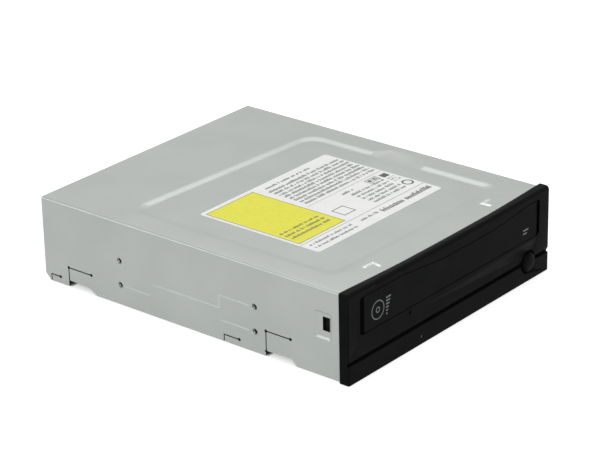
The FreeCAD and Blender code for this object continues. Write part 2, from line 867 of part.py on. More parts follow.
def make_rack(body):
    """Straight-flanked teeth under the tray's left side, facing the drive gear."""
    top = size.tray_floor + 0.3
    root = RACK_X - RACK_TOOTH_BASE * size.tooth
    first = size.gear_y - math.pi * size.tooth * 4
    last = size.tray_end - 1
    pad(body, "XY", HIGH_LEVEL, top, box(root - 2.6, first - 2, root, last))
    tip = RACK_X + size.tooth
    quarter = math.pi * size.tooth / 4 - BACKLASH / 2
    spread = quarter + RACK_TOOTH_BASE * size.tooth * FLANK
    narrow = quarter - size.tooth * FLANK
    tooth = pad(body, "XY", HIGH_LEVEL, top, [
        (root - 0.4, first - spread), (root, first - spread), (tip, first - narrow),
        (tip, first + narrow), (root, first + spread), (root - 0.4, first + spread)])
    count = int((last - first).number / (math.pi * DRIVING["tooth"]))
    row_of(body, tooth, "Y", count + 1, math.pi * size.tooth * count)


# Gears

def gear_outline(teeth, phase):
    """Points of an involute gear: each flank is three straight stretches."""
    module = size.tooth.number
    pitch = module * teeth / 2
    base = pitch * math.cos(math.radians(20))
    tip = pitch + 0.95 * module
    root = pitch - 1.25 * module
    pressure = math.radians(20)
    spread = math.pi / (2 * teeth) - BACKLASH / (2 * pitch) + math.tan(pressure) - pressure
    radii = [max(base, root), (max(base, root) + pitch) / 2, pitch, (pitch + tip) / 2, tip]
    points = []
    for tooth in range(int(teeth)):
        middle = phase + 2 * math.pi * tooth / teeth
        flank = []
        for radius in radii:
            roll = math.acos(min(1.0, base / radius))
            flank.append((radius, spread - (math.tan(roll) - roll)))
        flank.insert(0, (root, flank[0][1] + 0.01))
        for radius, angle in flank:
            points.append((radius, middle - angle))
        for radius, angle in reversed(flank):
            points.append((radius, middle + angle))
    return [FreeCAD.Vector(r * math.cos(a), r * math.sin(a), 0) for r, a in points]


def toothed_disc(teeth, phase, low, high):
    corners = gear_outline(teeth, phase)
    wire = Part.makePolygon(corners + corners[:1])
    gear = Part.Face(wire).extrude(FreeCAD.Vector(0, 0, high - low))
    gear.translate(FreeCAD.Vector(0, 0, low))
    return gear


def disc(radius, low, high):
    return Part.makeCylinder(number(radius), high - low, FreeCAD.Vector(0, 0, low))


def pulley_shape(radius, low):
    """A belt groove between two thin flanges."""
    rim = radius + 1.6
    lower = disc(rim, low, low + 0.4)
    middle = disc(radius, low + 0.4, low + 2.0)
    upper = disc(rim, low + 2.0, low + 2.4)
    return lower.fuse([middle, upper])


def make_loader_gears():
    """Belt pulley, reduction gear and drive gear, in mesh with the tray's rack."""
    bore = size.post_radius.number + size.running_gap.number
    deck = size.deck_top.number
    # A tooth of the drive pinion points at a gap of the rack, on its left.
    pinion_teeth = size.rack_pinion_teeth.number
    drive_teeth = size.drive_teeth.number
    pulley_teeth = size.pulley_teeth.number
    pinion_phase = math.pi + math.pi / pinion_teeth
    drive = toothed_disc(drive_teeth, 0, MIDDLE_LEVEL, MIDDLE_LEVEL + 2.1)
    drive = drive.fuse([
        toothed_disc(pinion_teeth, pinion_phase, MIDDLE_LEVEL + 2.1, HIGH_LEVEL + 3.0),
        disc(3.4, deck + 0.2, MIDDLE_LEVEL),
    ])
    drive = drive.cut(disc(bore, 0, 40)).removeSplitter()
    gear = solid_piece("drive_gear", drive)
    place(gear, size.drive_gear_x, size.gear_y, 0)
    reach = pitch_radius(size.drive_teeth) + pitch_radius(size.pulley_teeth)
    pulley_x = size.drive_gear_x + reach
    phase = math.pi + math.pi / pulley_teeth
    pulley = toothed_disc(pulley_teeth, phase, MIDDLE_LEVEL - 0.5, MIDDLE_LEVEL + 2.4)
    pulley = pulley.fuse([pulley_shape(size.pulley_radius.number, LOW_LEVEL)])
    pulley = pulley.cut(disc(bore, 0, 40)).removeSplitter()
    piece = solid_piece("pulley_gear", pulley)
    place(piece, pulley_x, size.gear_y, 0)
    small = pulley_shape(size.motor_pulley_radius.number, LOW_LEVEL)
    under = deck - size.deck_thick.number
    small = small.fuse([disc(1.0, under + 0.1, LOW_LEVEL + 3.0)]).removeSplitter()
    piece = solid_piece("motor_pulley", small)
    place(piece, pulley_x + size.belt_run, size.gear_y, 0)
    belt = belt_loop(0.15 + size.belt_thick.number).cut(belt_loop(0.15))
    piece = solid_piece("drive_belt", belt)
    place(piece, pulley_x, size.gear_y, 0)
    make_loading_motor(pulley_x + size.belt_run, under)


def belt_loop(grow):
    """The round-ended loop over both pulleys, grown by a margin."""
    large = size.pulley_radius.number + grow
    small = size.motor_pulley_radius.number + grow
    run = size.belt_run.number
    lean = math.acos((large - small) / run)
    low = LOW_LEVEL + 0.4 + (1.6 - size.belt_thick.number) / 2

    def at(centre, radius, angle):
        return FreeCAD.Vector(centre + radius * math.cos(angle), radius * math.sin(angle), low)

    edges = [
        Part.LineSegment(at(0, large, -lean), at(run, small, -lean)).toShape(),
        Part.Arc(at(run, small, -lean), at(run, small, 0), at(run, small, lean)).toShape(),
        Part.LineSegment(at(run, small, lean), at(0, large, lean)).toShape(),
        Part.Arc(at(0, large, lean), at(0, large, math.pi), at(0, large, -lean)).toShape(),
    ]
    face = Part.Face(Part.Wire(edges))
    return face.extrude(FreeCAD.Vector(0, 0, size.belt_thick.number))


def make_loading_motor(x, under):
    """Flat can motor under the deck, with two flats on its sides."""
    body = new_body("loading_motor")
    turn(body, "Z", (0, 5.2), (9.4, 5.2, 0.8), (10, 6.2), (10, under), (0, under))
    carve(body, "XY", 0, under - 1, box(-11, 7.8, 11, 11), box(-11, -11, 11, -7.8))
    place(body, x, size.gear_y, 0)


# Loader frame

def make_main_frame():
    """Moulded base: side channels for the tray, a front deck, a rear cross member."""
    body = new_body("main_frame")
    side = size.frame_side
    wall = side - size.frame_wall
    start = size.frame_start
    end = size.frame_end
    channel = [
        (-side, 3.2),
        (-wall, 3.2),
        (-wall, size.rail_top - 1.7),
        (-wall + 7.4, size.rail_top - 1.7),
        (-wall + 7.4, size.rail_top),
        (-wall, size.rail_top),
        (-wall, size.lip_under),
        (-wall + 6.4, size.lip_under),
        (-wall + 6.4, size.lip_top),
        (-side, size.lip_top),
    ]
    rail = pad(body, "XZ", start, end, channel)
    mirrored(body, rail)
    under = size.deck_top - size.deck_thick
    pad(body, "XY", under, size.deck_top,
        [(-wall + 2, 3, 2), (wall - 2, 3, 2), (wall - 2, start - 0.5), (wall + 0.5, start + 0.5),
         (wall + 0.5, 36), (-wall - 0.5, 36), (-wall - 0.5, start + 0.5), (-wall + 2, start - 0.5)])
    # Wall behind the deck that backs the cam.
    cam = size.cam_front - 0.3
    pad(body, "XZ", cam - 2, cam, box(-42, 3.2, 42, size.deck_top))
    # Rear cross member, and ears for the traverse's pins.
    pad(body, "XZ", size.pivot_y + 3.5, end, box(-wall - 0.5, 14.8, wall + 0.5, 22.6))
    ears = [
        (size.pivot_y - 4, size.pivot_z - 4), (size.pivot_y + 5, size.pivot_z - 4),
        (size.pivot_y + 5, size.pivot_z + 5), (size.pivot_y - 1, size.pivot_z + 5, 2),
        (size.pivot_y - 4, size.pivot_z + 2, 2),
    ]
    ear = pad(body, "YZ", -size.lift_side - 5.4, -size.lift_side - 1.4, ears)
    mirrored(body, ear)
    carve(body, "YZ", -size.lift_side - 8, size.lift_side + 8,
          (size.pivot_y, size.pivot_z, size.pivot_radius + size.running_gap))
    # Posts of the two gears.
    reach = pitch_radius(size.drive_teeth) + pitch_radius(size.pulley_teeth)
    gear_x = size.drive_gear_x
    pad(body, "XY", size.deck_top - 0.2, HIGH_LEVEL + 2.4,
        (gear_x, size.gear_y, size.post_radius), (gear_x + reach, size.gear_y, size.post_radius))
    carve(body, "XY", under - 1, size.deck_top + 0.1,
          (gear_x + reach + size.belt_run, size.gear_y, 2.5))
    # Bosses for the screws of the bottom cover.
    deck_posts = [(x, y, 3.4) for x, y in BOTTOM_SCREWS[:2]]
    pad(body, "XY", size.sheet + 0.1, under + 0.2, *deck_posts)
    rear_posts = [(x, y, 3.4) for x, y in BOTTOM_SCREWS[2:]]
    pad(body, "XY", size.sheet + 0.1, size.rail_top - 1, *rear_posts)
    carve(body, "XY", 0, 7, *[(x, y, 1.3) for x, y in BOTTOM_SCREWS])
    # Ribs that carry the main board at its corners.
    board_top = size.board_bottom + size.board_thick
    for x, y in BOARD_SCREWS[:2]:
        rib = pad(body, "XY", board_top, board_top + 2.2,
                  box(-wall - 0.5, y - 4, x + 2.5, y + 4))
        mirrored(body, rib)
    carve(body, "XY", board_top - 1, board_top + 3, *[(x, y, 1.05) for x, y in BOARD_SCREWS])
    # Room for the fixing screws that come through the housing.
    rooms = [(y, z, size.screw_room)
             for y in (size.front_hole, rear_hole) for z in (size.low_hole, size.high_hole)]
    carve(body, "YZ", -side - 1, side + 1, *rooms)
    spread = size.bottom_hole_spread / 2
    carve(body, "XY", 2, 9.5, *[(x, y, size.screw_room)
                                for x in (-spread, spread) for y in (size.front_hole, rear_hole)])
    carve(body, "XY", size.lip_under - 1, size.lip_top + 1,
          (-BRIDGE_SCREW_X, size.disc_y, 1.05), (BRIDGE_SCREW_X, size.disc_y, 1.05))
    place(body)


BOARD_SCREWS = [(x, y) for x in (-size.board_side + 2.5, size.board_side - 2.5)
                for y in (size.board_front + 6, size.board_rear - 15)]
BRIDGE_SCREW_X = size.frame_side - 4.9


def make_clamper():
    """Steel bridge over the tray, with the puck that holds the disc down."""
    bridge = new_body("clamper_bridge")
    low = size.lip_top
    high = low + size.bridge_thick
    centre = size.disc_y
    end = size.frame_side - 0.3
    pad(bridge, "XY", low, high, [
        (-end, centre - 7, 2), (-24, centre - 7, 6), (-16, centre - 19, 6), (16, centre - 19, 6),
        (24, centre - 7, 6), (end, centre - 7, 2), (end, centre + 7, 2), (24, centre + 7, 6),
        (16, centre + 19, 6), (-16, centre + 19, 6), (-24, centre + 7, 6), (-end, centre + 7, 2)])
    carve(bridge, "XY", low - 1, high + 1, (0, centre, size.bridge_hole))
    # Stiffening rib along each arm.
    for sign in (-1, 1):
        pad(bridge, "XY", high - 0.2, high + 0.8,
            box(sign * 44 - 16, centre - 2, sign * 44 + 16, centre + 2, 1.9))
    carve(bridge, "XY", low - 1, high + 1,
          (-BRIDGE_SCREW_X, centre, 1.1), (BRIDGE_SCREW_X, centre, 1.1))
    place(bridge)
    puck = new_body("clamper")
    bottom = size.clamper_bottom
    rest = high + 0.25
    turn(puck, "Z",
         (8.4, bottom + 2.6),
         (8.4, bottom),
         (size.clamper_radius - 0.6, bottom),
         (size.clamper_radius, bottom + 0.6),
         (size.clamper_radius, rest),
         (size.clamper_flange, rest),
         (size.clamper_flange, rest + 1.2),
         (9.6, rest + 1.2),
         (9.6, rest + 0.1),
         (0, rest + 0.1),
         (0, bottom + 2.6))
    place(puck, 0, centre, 0)
    plate = new_body("clamper_plate")
    turn(plate, "Z", (0, rest + 0.1), (9.5, rest + 0.1), (9.5, rest + 0.6), (9.2, rest + 0.9),
         (0, rest + 0.9))
    place(plate, 0, centre, 0)


# Traverse, drawn level; place_tilted lowers it

DAMPERS = [(x, y) for x in (-41.2, 41.2) for y in (60, 146)]


def make_lift_frame():
    """Moulded frame that swings on two rear pins and is raised by two front pins."""
    body = new_body("lift_frame")
    side = size.lift_side
    low, high = size.lift_bottom, size.lift_top
    front = 47
    rear = size.pivot_y + 2
    pad(body, "XY", low, high, box(-side, front, side, rear, 4))
    carve(body, "XY", low - 1, high + 1, box(-side + 8.5, front + 7, side - 8.5, rear - 6, 4))
    carve(body, "XY", low - 1, high + 1, *[(x, y, 1.45) for x, y in DAMPERS])
    # Rear lugs and pins.
    lug = pad(body, "YZ", -side, -side + 5,
              [(size.pivot_y - 6, high - 1), (size.pivot_y + 2, high - 1),
               (size.pivot_y + 2, size.pivot_z + 2.6, 1.5),
               (size.pivot_y - 3, size.pivot_z + 2.6, 1.5)])
    pin = pad(body, "YZ", -side - 5.2, -side + 1, (size.pivot_y, size.pivot_z, size.pivot_radius))
    mirrored(body, lug, pin)
    # Front pins that run in the cam's slots.
    pins = [(x, size.lift_top - 1.7, size.cam_pin_radius)
            for x in (-size.cam_pin_x, size.cam_pin_x)]
    pad(body, "XZ", size.cam_front + 0.4, front + 1, *pins)
    place_tilted(body)


def make_chassis():
    """Steel plate that carries the disc motor, the rods and the feed motor."""
    body = new_body("traverse_chassis")
    low = size.chassis_top - size.chassis_thick
    high = size.chassis_top
    pad(body, "XY", low, high, [
        (-35, 54, 3), (35, 54, 3), (35, 55.5), (45, 55.5, 2), (45, 64.5, 2), (39.5, 64.5),
        (39.5, 141.5), (45, 141.5, 2), (45, 150.5, 2), (39.5, 150.5), (39.5, 156, 3),
        (-35, 156, 3), (-35, 150.5), (-45, 150.5, 2), (-45, 141.5, 2), (-35, 141.5),
        (-35, 64.5), (-45, 64.5, 2), (-45, 55.5, 2), (-35, 55.5)])
    carve(body, "XY", low - 1, high + 1, box(-28, size.rod_start + 3.2, 29, size.rod_end - 3.2, 2))
    carve(body, "XY", low - 1, high + 1, (0, size.disc_y, 6))
    carve(body, "XY", low - 1, high + 1, *[(x, y, 2.65) for x, y in DAMPERS])
    carve(body, "XY", low - 1, high + 1,
          box(size.screw_x - 5.6, 65, size.screw_x + 5.6, size.rod_start - 3))
    # Stiffening flange along the front edge.
    pad(body, "XZ", 54, 55, box(-30, low - 2.2, 24, high - 0.5))
    # Two bearing blocks for the lead screw, lanced up from the plate.
    for y in (size.rod_start - 2.4, size.rod_end - 10):
        pad(body, "XZ", y, y + 1, box(size.screw_x - 3, high - 0.5, size.screw_x + 3,
                                      size.screw_z + 2.6))
    carve(body, "XZ", size.rod_start - 4, size.rod_end,
          (size.screw_x, size.screw_z, 1.5 + size.running_gap))
    place_tilted(body)


def make_dampers():
    """Four rubber grommets on shoulder screws, between the chassis and its frame."""
    low = size.lift_top
    mid = size.chassis_top - size.chassis_thick
    high = size.chassis_top
    body = new_body("dampers")
    outline = [
        (1.9, low), (3.6, low), (4, low + 0.5), (4, mid), (2.6, mid), (2.6, high), (4, high),
        (4, high + 1.5), (3.6, high + 2), (1.9, high + 2)]
    spread_pieces(body, DAMPERS, outline)
    place_tilted(body)
    screws = new_body("damper_screws")
    outline = [
        (0, low - 3), (1.4, low - 3), (1.4, low + 0.02), (1.8, low + 0.02), (1.8, high + 2.05),
        (3.5, high + 2.05), (3.1, high + 3.1), (0, high + 3.1)]
    spread_pieces(screws, DAMPERS, outline)
    place_tilted(screws)


def spread_pieces(body, places, outline):
    """The same turned piece at each of several places, as separate solids."""
    for x, y in places:
        feature = body.newObject("PartDesign::Revolution", f"{body.Name}_turned")
        sketch = sketch_on(body, "XZ", y, [[(x + c[0], *c[1:]) for c in outline]])
        axis = sketch.addGeometry(Part.LineSegment(vector(x, 0), vector(x, 10)), True)
        sketch.addConstraint(Sketcher.Constraint("Vertical", axis))
        pin_point(sketch, axis, 1, x, 0)
        constrain(sketch, "DistanceY", axis, 1, axis, 2, 10)
        feature.Profile = sketch
        feature.ReferenceAxis = (sketch, ["Axis0"])
        feature.Angle = 360
        document.recompute()


def make_spindle():
    """Disc motor under the chassis, and the turntable with its centring cone."""
    motor = new_body("spindle_motor")
    low = size.chassis_top - size.chassis_thick
    bore = size.shaft_radius + size.running_gap
    turn(motor, "Z",
         (bore, low - 1.4),
         (15, low - 1.4),
         (15, low),
         (5.6, low),
         (5.6, low + 2.2),
         (10.8, low + 2.2),
         (10.8, low + 6.4),
         (bore, low + 6.4))
    place_tilted(motor, 0, size.disc_y, 0)
    table = new_body("turntable")
    top = size.disc_level
    turn(table, "Z",
         (0, low - 1.8),
         (size.shaft_radius, low - 1.8),
         (size.shaft_radius, low + 7),
         (11.6, low + 7),
         (11.6, low + 1.6),
         (12.6, low + 1.6),
         (12.6, low + 8.2),
         (size.turntable_radius, top - 1.6),
         (size.turntable_radius, top - 0.4),
         (10.4, top - 0.4),
         (10.4, top - 0.8),
         (7.45, top - 0.8),
         (7.45, top + 0.6),
         (6.2, top + 2.3, 0.8),
         (0, top + 2.3))
    # Three centring jaws, marked off by slots in the cone.
    for turn_angle in (90, 210, 330):
        cut_jaw_slots(table, turn_angle)
    place_tilted(table, 0, size.disc_y, 0)
    mat = new_body("turntable_mat")
    turn(mat, "Z",
         (10.5, top - 0.4), (size.turntable_radius - 0.2, top - 0.4),
         (size.turntable_radius - 0.2, top), (10.5, top))
    place_tilted(mat, 0, size.disc_y, 0)


def cut_jaw_slots(table, angle):
    """A pair of narrow slots beside one jaw of the centring cone."""
    top = size.disc_level
    direction = FreeCAD.Vector(math.cos(math.radians(angle)), math.sin(math.radians(angle)), 0)
    across = FreeCAD.Vector(-direction.y, direction.x, 0)
    for sign in (-1, 1):
        corners = []
        for out, side in ((3.4, 1.3), (9, 1.3), (9, 1.8), (3.4, 1.8)):
            point = direction * out + across * (sign * side)
            corners.append((point.x, point.y))
        if sign < 0:
            corners.reverse()
        carve(table, "XY", top - 0.3, top + 3, corners)


def make_feed():
    """Guide rods, their holders, the stepping motor and the lead screw."""
    rods = new_body("guide_rods")
    pad(rods, "XZ", size.rod_start, size.rod_end,
        (-size.rod_x, size.rod_z, size.rod_radius), (size.rod_x, size.rod_z, size.rod_radius))
    place_tilted(rods)
    holders = new_body("rod_holders")
    high = size.chassis_top
    radius = size.rod_radius
    for y in (size.rod_start - 1.2, size.rod_end - 1.8):
        for x in (-size.rod_x, size.rod_x):
            pad(holders, "XZ", y, y + 3, [
                (x - 3.2, high), (x + 3.2, high), (x + 3.2, size.rod_z + 2.9, 1.5),
                (x - 3.2, size.rod_z + 2.9, 1.5)])
    carve(holders, "XZ", size.rod_start, size.rod_end,
          (-size.rod_x, size.rod_z, radius), (size.rod_x, size.rod_z, radius))
    place_tilted(holders)
    motor = new_body("feed_motor")
    front = 66
    rear = size.rod_start - 4.4
    turn(motor, "Y", (0, front), (5.2, front), (5.7, front + 0.5), (5.7, rear), (0, rear))
    pad(motor, "XY", -1.6, 3.2, box(5, front + 3, 7.2, rear - 4))
    place_tilted(motor, size.screw_x, 0, size.screw_z)
    screw = new_body("lead_screw")
    start = rear + 0.1
    end = size.rod_end - 9.4
    turn(screw, "Y", (0, start), (1.5, start), (1.5, size.rod_start - 1.2),
         (1.9, size.rod_start - 1.2), (1.9, end - 0.8), (1.5, end - 0.8), (1.5, end + 1.2),
         (0, end + 1.2))
    place_tilted(screw, size.screw_x, 0, size.screw_z)


def make_pickup():
    """Laser sled: a die-cast body on two rods, with the lens near its front edge."""
    body = new_body("pickup_body")
    lens_y = size.disc_y + size.lens_inner
    front = lens_y - 11.5
    rear = lens_y + 20.5
    top = 24.3
    low = 14.6
    pad(body, "XY", 18.8, top, [
        (-20, front + 5, 2), (-14, front), (14, front), (20, front + 5, 2), (20, rear, 2),
        (-20, rear, 2)])
    # The belly hangs through the chassis.
    pad(body, "XY", low, 19, box(-17, front + 8, 17, rear - 2, 2))
    # The front curves round the turntable.
    carve(body, "XY", 18, top + 1, (0, size.disc_y, 13.6))
    # Arms to the rods: two bearings on the left, an open fork on the right.
    bore = size.rod_radius + size.running_gap
    for y in (front + 8, rear - 6):
        pad(body, "XZ", y, y + 5, [
            (-19, 18.4), (-19, 23.6), (-size.rod_x - 2.9, 23.6, 1.6),
            (-size.rod_x - 2.9, 18.4, 1.6)])
    carve(body, "XZ", front, rear + 1, (-size.rod_x, size.rod_z, bore))
    middle = (front + rear) / 2
    rod_x, rod_z = size.rod_x, size.rod_z
    pad(body, "XZ", middle - 3, middle + 3, [
        (19, rod_z + 3), (19, rod_z - 3), (rod_x + 2.6, rod_z - 3), (rod_x + 2.6, rod_z - 1.55),
        (rod_x - 2, rod_z - 1.55), (rod_x - 2, rod_z + 1.55), (rod_x + 2.6, rod_z + 1.55),
        (rod_x + 2.6, rod_z + 3)])
    # Follower that reaches to the lead screw.
    pad(body, "XZ", middle - 6.5, middle - 3.5, [
        (19, size.rod_z + 1.7), (19, size.rod_z + 3), (size.screw_x - 2.1, size.rod_z + 3),
        (size.screw_x - 2.1, size.screw_z - 1), (size.screw_x - 3.4, size.screw_z - 1),
        (size.screw_x - 3.4, size.rod_z + 1.7)])
    # Well for the lens holder.
    carve(body, "XY", top - 3, top + 1, box(-8, lens_y - 4.6, 8, lens_y + 6, 1))
    place_tilted(body)
    holder = new_body("lens_holder")
    pad(holder, "XY", top - 3, top + 1.6, box(-6.4, lens_y - 4.2, 6.4, lens_y + 5, 1))
    pad(holder, "XY", top + 1.5, top + 2.3, (0, lens_y, 3.6))
    carve(holder, "XY", top - 1, top + 3, (0, lens_y, 2.6))
    place_tilted(holder)
    lens = new_body("objective_lens")
    turn(lens, "Z", (0, top - 1), (2.55, top - 1), (2.55, top + 1.6), (0, top + 2.5, 0))
    place_tilted(lens, 0, lens_y, 0)


def make_cam():
    """Sideways slider whose slanted slots lift the traverse's front pins."""
    body = new_body("cam_slider")
    lever_y = size.pivot_y - size.cam_front - size.cam_thick / 2
    pin_level = size.lift_top - 1.7
    up = pin_level - size.pivot_z
    drop = lever_y * sine(size.tilt)
    rest_z = size.pivot_z - drop + up * cosine(size.tilt)
    low = 4.2
    high = 18.8
    x = size.cam_pin_x
    travel = size.cam_travel
    pad(body, "XZ", size.cam_front, size.cam_front + size.cam_thick, [
        (-x - travel - 5, low, 2), (x + 5, low, 2), (x + 5, high, 2), (-x - travel - 5, high, 2)])
    rise = pin_level - rest_z
    room = size.cam_pin_radius + 0.25
    for sign in (-1, 1):
        foot = x * sign
        carve_slot(body, foot, rest_z, foot - travel, rest_z + rise, room)
    place(body)


def carve_slot(body, x0, z0, x1, z1, radius):
    """A slanted slot with round ends, rising to the left."""
    low, high = size.cam_front - 1, size.cam_front + size.cam_thick + 1
    run = x0 - x1
    rise = z1 - z0
    length = Size(math.hypot(run.number, rise.number), f"sqrt({run.text} ^ 2 + {rise.text} ^ 2)")
    across_x = radius * rise / length
    across_z = radius * run / length
    carve(body, "XZ", low, high, (x0, z0, radius))
    carve(body, "XZ", low, high, (x1, z1, radius))
    carve(body, "XZ", low, high, [
        (x1 - across_x, z1 - across_z), (x0 - across_x, z0 - across_z),
        (x0 + across_x, z0 + across_z), (x1 + across_x, z1 + across_z)])


# Boards and sockets

SOCKET_REAR_GAP = 0.3
DATA_X = -8.0
POWER_X = -52.0
AUDIO_X = 47.0
JUMPER_X = 31.0


def rear_windows():
    """Openings of the rear wall, one round each socket: x0, z0, x1, z1."""
    low = size.board_bottom + size.board_thick
    gap = SOCKET_REAR_GAP
    spans = [(DATA_X, 28.2, 9.2), (POWER_X, 10.8, 9.6), (AUDIO_X, 6.6, 7), (JUMPER_X, 4.1, 5.4)]
    return [(x - w - gap, low - 0.2, x + w + gap, low + tall + gap) for x, w, tall in spans]


def make_boards():
    """Main board with its chips, and the row of sockets along its rear edge."""
    low = size.board_bottom
    high = low + size.board_thick
    side = size.board_side
    board = new_body("main_board")
    pad(board, "XY", low, high, box(-side, size.board_front, side, size.board_rear, 1))
    carve(board, "XY", low - 1, high + 1, *[(x, y, 1.3) for x, y in BOARD_SCREWS])
    place(board)
    chips = new_body("board_chips")
    for x, back, w, d, tall in ((-18, 22, 20, 20, 1.3), (18, 16, 14, 14, 1.2),
                                (34, 38, 12, 7, 1.1), (-42, 30, 9, 16, 1.1), (4, 44, 16, 8, 1.0)):
        y = size.board_front + back
        pad(chips, "XY", high, high + tall,
            box(x - w / 2, y - d / 2, x + w / 2, y + d / 2))
    place(chips)
    make_headers(high)


def socket(name, x, half_width, tall, length, wall, low):
    """A moulded socket, hollow from the rear, on the board's rear edge."""
    body = new_body(name)
    rear = size.body_depth - 0.1
    pad(body, "XZ", rear - length, rear, box(x - half_width, low, x + half_width, low + tall))
    carve(body, "XZ", rear - length + 1.6, rear + 1,
          box(x - half_width + wall, low + wall, x + half_width - wall, low + tall - wall))
    return body


def make_headers(low):
    """Forty-pin data socket, four-pin power socket, audio socket and jumper pins."""
    rear = size.body_depth - 0.1
    data = socket("data_header", DATA_X, 28.0, 9.0, 9.0, 1.1, low)
    carve(data, "XZ", rear - 6, rear + 1,
          box(DATA_X - 2.2, low + 7.4, DATA_X + 2.2, low + 10))
    place(data)
    pins = new_body("data_pins")
    first = DATA_X - 19 * 1.27
    pin = pad(pins, "XZ", rear - 7.4, rear - 1.6,
              box(first - 0.32, low + 2.91, first + 0.32, low + 3.55),
              box(first - 0.32, low + 5.45, first + 0.32, low + 6.09))
    row_of(pins, pin, "X", 20, 19 * 2.54)
    place(pins)
    power = socket("power_header", POWER_X, 10.6, 9.4, 10.0, 1.0, low)
    place(power)
    posts = new_body("power_pins")
    pad(posts, "XZ", rear - 8.4, rear - 2,
        *[(POWER_X + 5.08 * (i - 1.5), low + 4.7, 1.05) for i in range(4)])
    place(posts)
    audio = socket("audio_header", AUDIO_X, 6.4, 6.8, 8.0, 0.9, low)
    place(audio)
    jumper = new_body("jumper_block")
    pad(jumper, "XZ", rear - 7.5, rear - 5, box(JUMPER_X - 3.8, low, JUMPER_X + 3.8, low + 5.1))
    for i in range(3):
        x = JUMPER_X + 2.54 * (i - 1)
        pad(jumper, "XZ", rear - 5.2, rear,
            box(x - 0.32, low + 0.95, x + 0.32, low + 1.6),
            box(x - 0.32, low + 3.5, x + 0.32, low + 4.14))
    place(jumper)


def make_screws():
    """Four screws in the underside, four in the board, two in the bridge."""
    screws = new_body("bottom_screws")
    spread_pieces(screws, BOTTOM_SCREWS, [
        (0, -0.0), (1.5, 0.0), (1.5, size.sheet), (1.25, size.sheet + 0.1), (1.25, 6), (0, 6)])
    place(screws)
    boards = new_body("board_screws")
    low = size.board_bottom
    spread_pieces(boards, BOARD_SCREWS, [
        (0, low - 1.3), (1.9, low - 1.3), (2.3, low), (1.0, low), (1.0, low + 3.6),
        (0, low + 3.6)])
    place(boards)
    bridge = new_body("bridge_screws")
    high = size.lip_top + size.bridge_thick
    spread_pieces(bridge, [(-BRIDGE_SCREW_X, size.disc_y), (BRIDGE_SCREW_X, size.disc_y)], [
        (0, high - 4.5), (1.0, high - 4.5), (1.0, high), (2.6, high), (2.1, high + 1.5),
        (0, high + 1.5)])
    place(bridge)


def make_top_label():
    """Paper label on the lid's panel."""
    body = new_body("top_label")
    low = size.body_height - size.panel_depth
    pad(body, "XY", low, low + 0.1, box(-45.6, 34.6, 45.6, 103.4, 1.5))
    place(body)


make_top_cover()
make_bottom_cover()
make_bezel()
make_tray_door()
make_eject_button()
make_indicator_light()
make_front_board()
make_tray()
make_loader_gears()
make_main_frame()
make_clamper()
make_lift_frame()
make_chassis()
make_dampers()
make_spindle()
make_feed()
make_pickup()
make_cam()
make_boards()
make_screws()
make_top_label()

# Every object has to be sound before anything is written.
document.recompute()
for item in document.Objects:
    if "Invalid" in item.State or "Error" in item.State:
        raise ValueError(f"{item.Label} has failed: {item.State}")
for node in nodes:
    if node.Shape.isNull() or not node.Shape.isValid() or not node.Shape.Solids:
        raise ValueError(f"{node.Label} has no sound shape")
os.makedirs("parts", exist_ok=True)
for node in nodes:
    node.Shape.exportStep(f"parts/{node.Label}.step")
    print(node.Label, len(node.Shape.Solids), round(node.Shape.Volume, 1))
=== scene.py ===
import bmesh
import bpy
import math
import numpy as np
from mathutils import Matrix, Vector


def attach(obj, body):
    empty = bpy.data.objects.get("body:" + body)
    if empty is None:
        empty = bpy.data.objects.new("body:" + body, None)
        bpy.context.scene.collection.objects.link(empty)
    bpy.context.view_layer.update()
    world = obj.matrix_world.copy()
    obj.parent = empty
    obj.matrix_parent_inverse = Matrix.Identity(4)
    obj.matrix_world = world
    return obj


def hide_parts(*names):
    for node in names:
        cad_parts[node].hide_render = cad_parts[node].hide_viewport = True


# An internal DVD writer: finishes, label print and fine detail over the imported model.
# Lengths are in millimetres unless a name or comment says metres. A place is x to the
# right, y back from the bezel's back plane and z up from the housing's underside.

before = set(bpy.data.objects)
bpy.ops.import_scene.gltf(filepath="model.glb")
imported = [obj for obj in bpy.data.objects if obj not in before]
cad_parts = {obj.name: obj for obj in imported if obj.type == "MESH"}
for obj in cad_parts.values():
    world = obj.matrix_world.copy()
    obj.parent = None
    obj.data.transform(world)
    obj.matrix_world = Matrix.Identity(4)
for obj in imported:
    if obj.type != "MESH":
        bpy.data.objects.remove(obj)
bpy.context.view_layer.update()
MM = 0.001

# The frame's origin is this far behind the bezel's back plane, midway between the
# bottom mounting holes.
HOLES_MIDDLE = 47.4 + 79.25 / 2
BEZEL_FACE = -5.0
BODY_WIDTH = 146.0
LID_TOP = 41.3
PANEL_DEPTH, PAPER_THICKNESS = 0.8, 0.1
LABEL_TOP = LID_TOP - PANEL_DEPTH + PAPER_THICKNESS


# Colours and nodes

def linear(hex_colour):
    """sRGB hex to the linear values that shaders take, opaque."""
    channels = [int(hex_colour[i:i + 2], 16) / 255 for i in (1, 3, 5)]
    curve = [c / 12.92 if c <= 0.04045 else ((c + 0.055) / 1.055) ** 2.4 for c in channels]
    return (*curve, 1.0)


def add(owner, kind, links=None, **settings):
    """Adds a node; settings go to its properties or inputs, links to its inputs."""
    tree = owner.node_tree
    node = tree.nodes.new(kind)
    for name, value in settings.items():
        if hasattr(node, name):
            setattr(node, name, value)
        else:
            node.inputs[name.replace("_", " ")].default_value = value
    for name, source in (links or {}).items():
        key = name if isinstance(name, int) else name.replace("_", " ")
        tree.links.new(source, node.inputs[key])
    return node


def new_material(name):
    material = bpy.data.materials.new(name)
    material.use_nodes = True
    material.node_tree.nodes.clear()
    return material


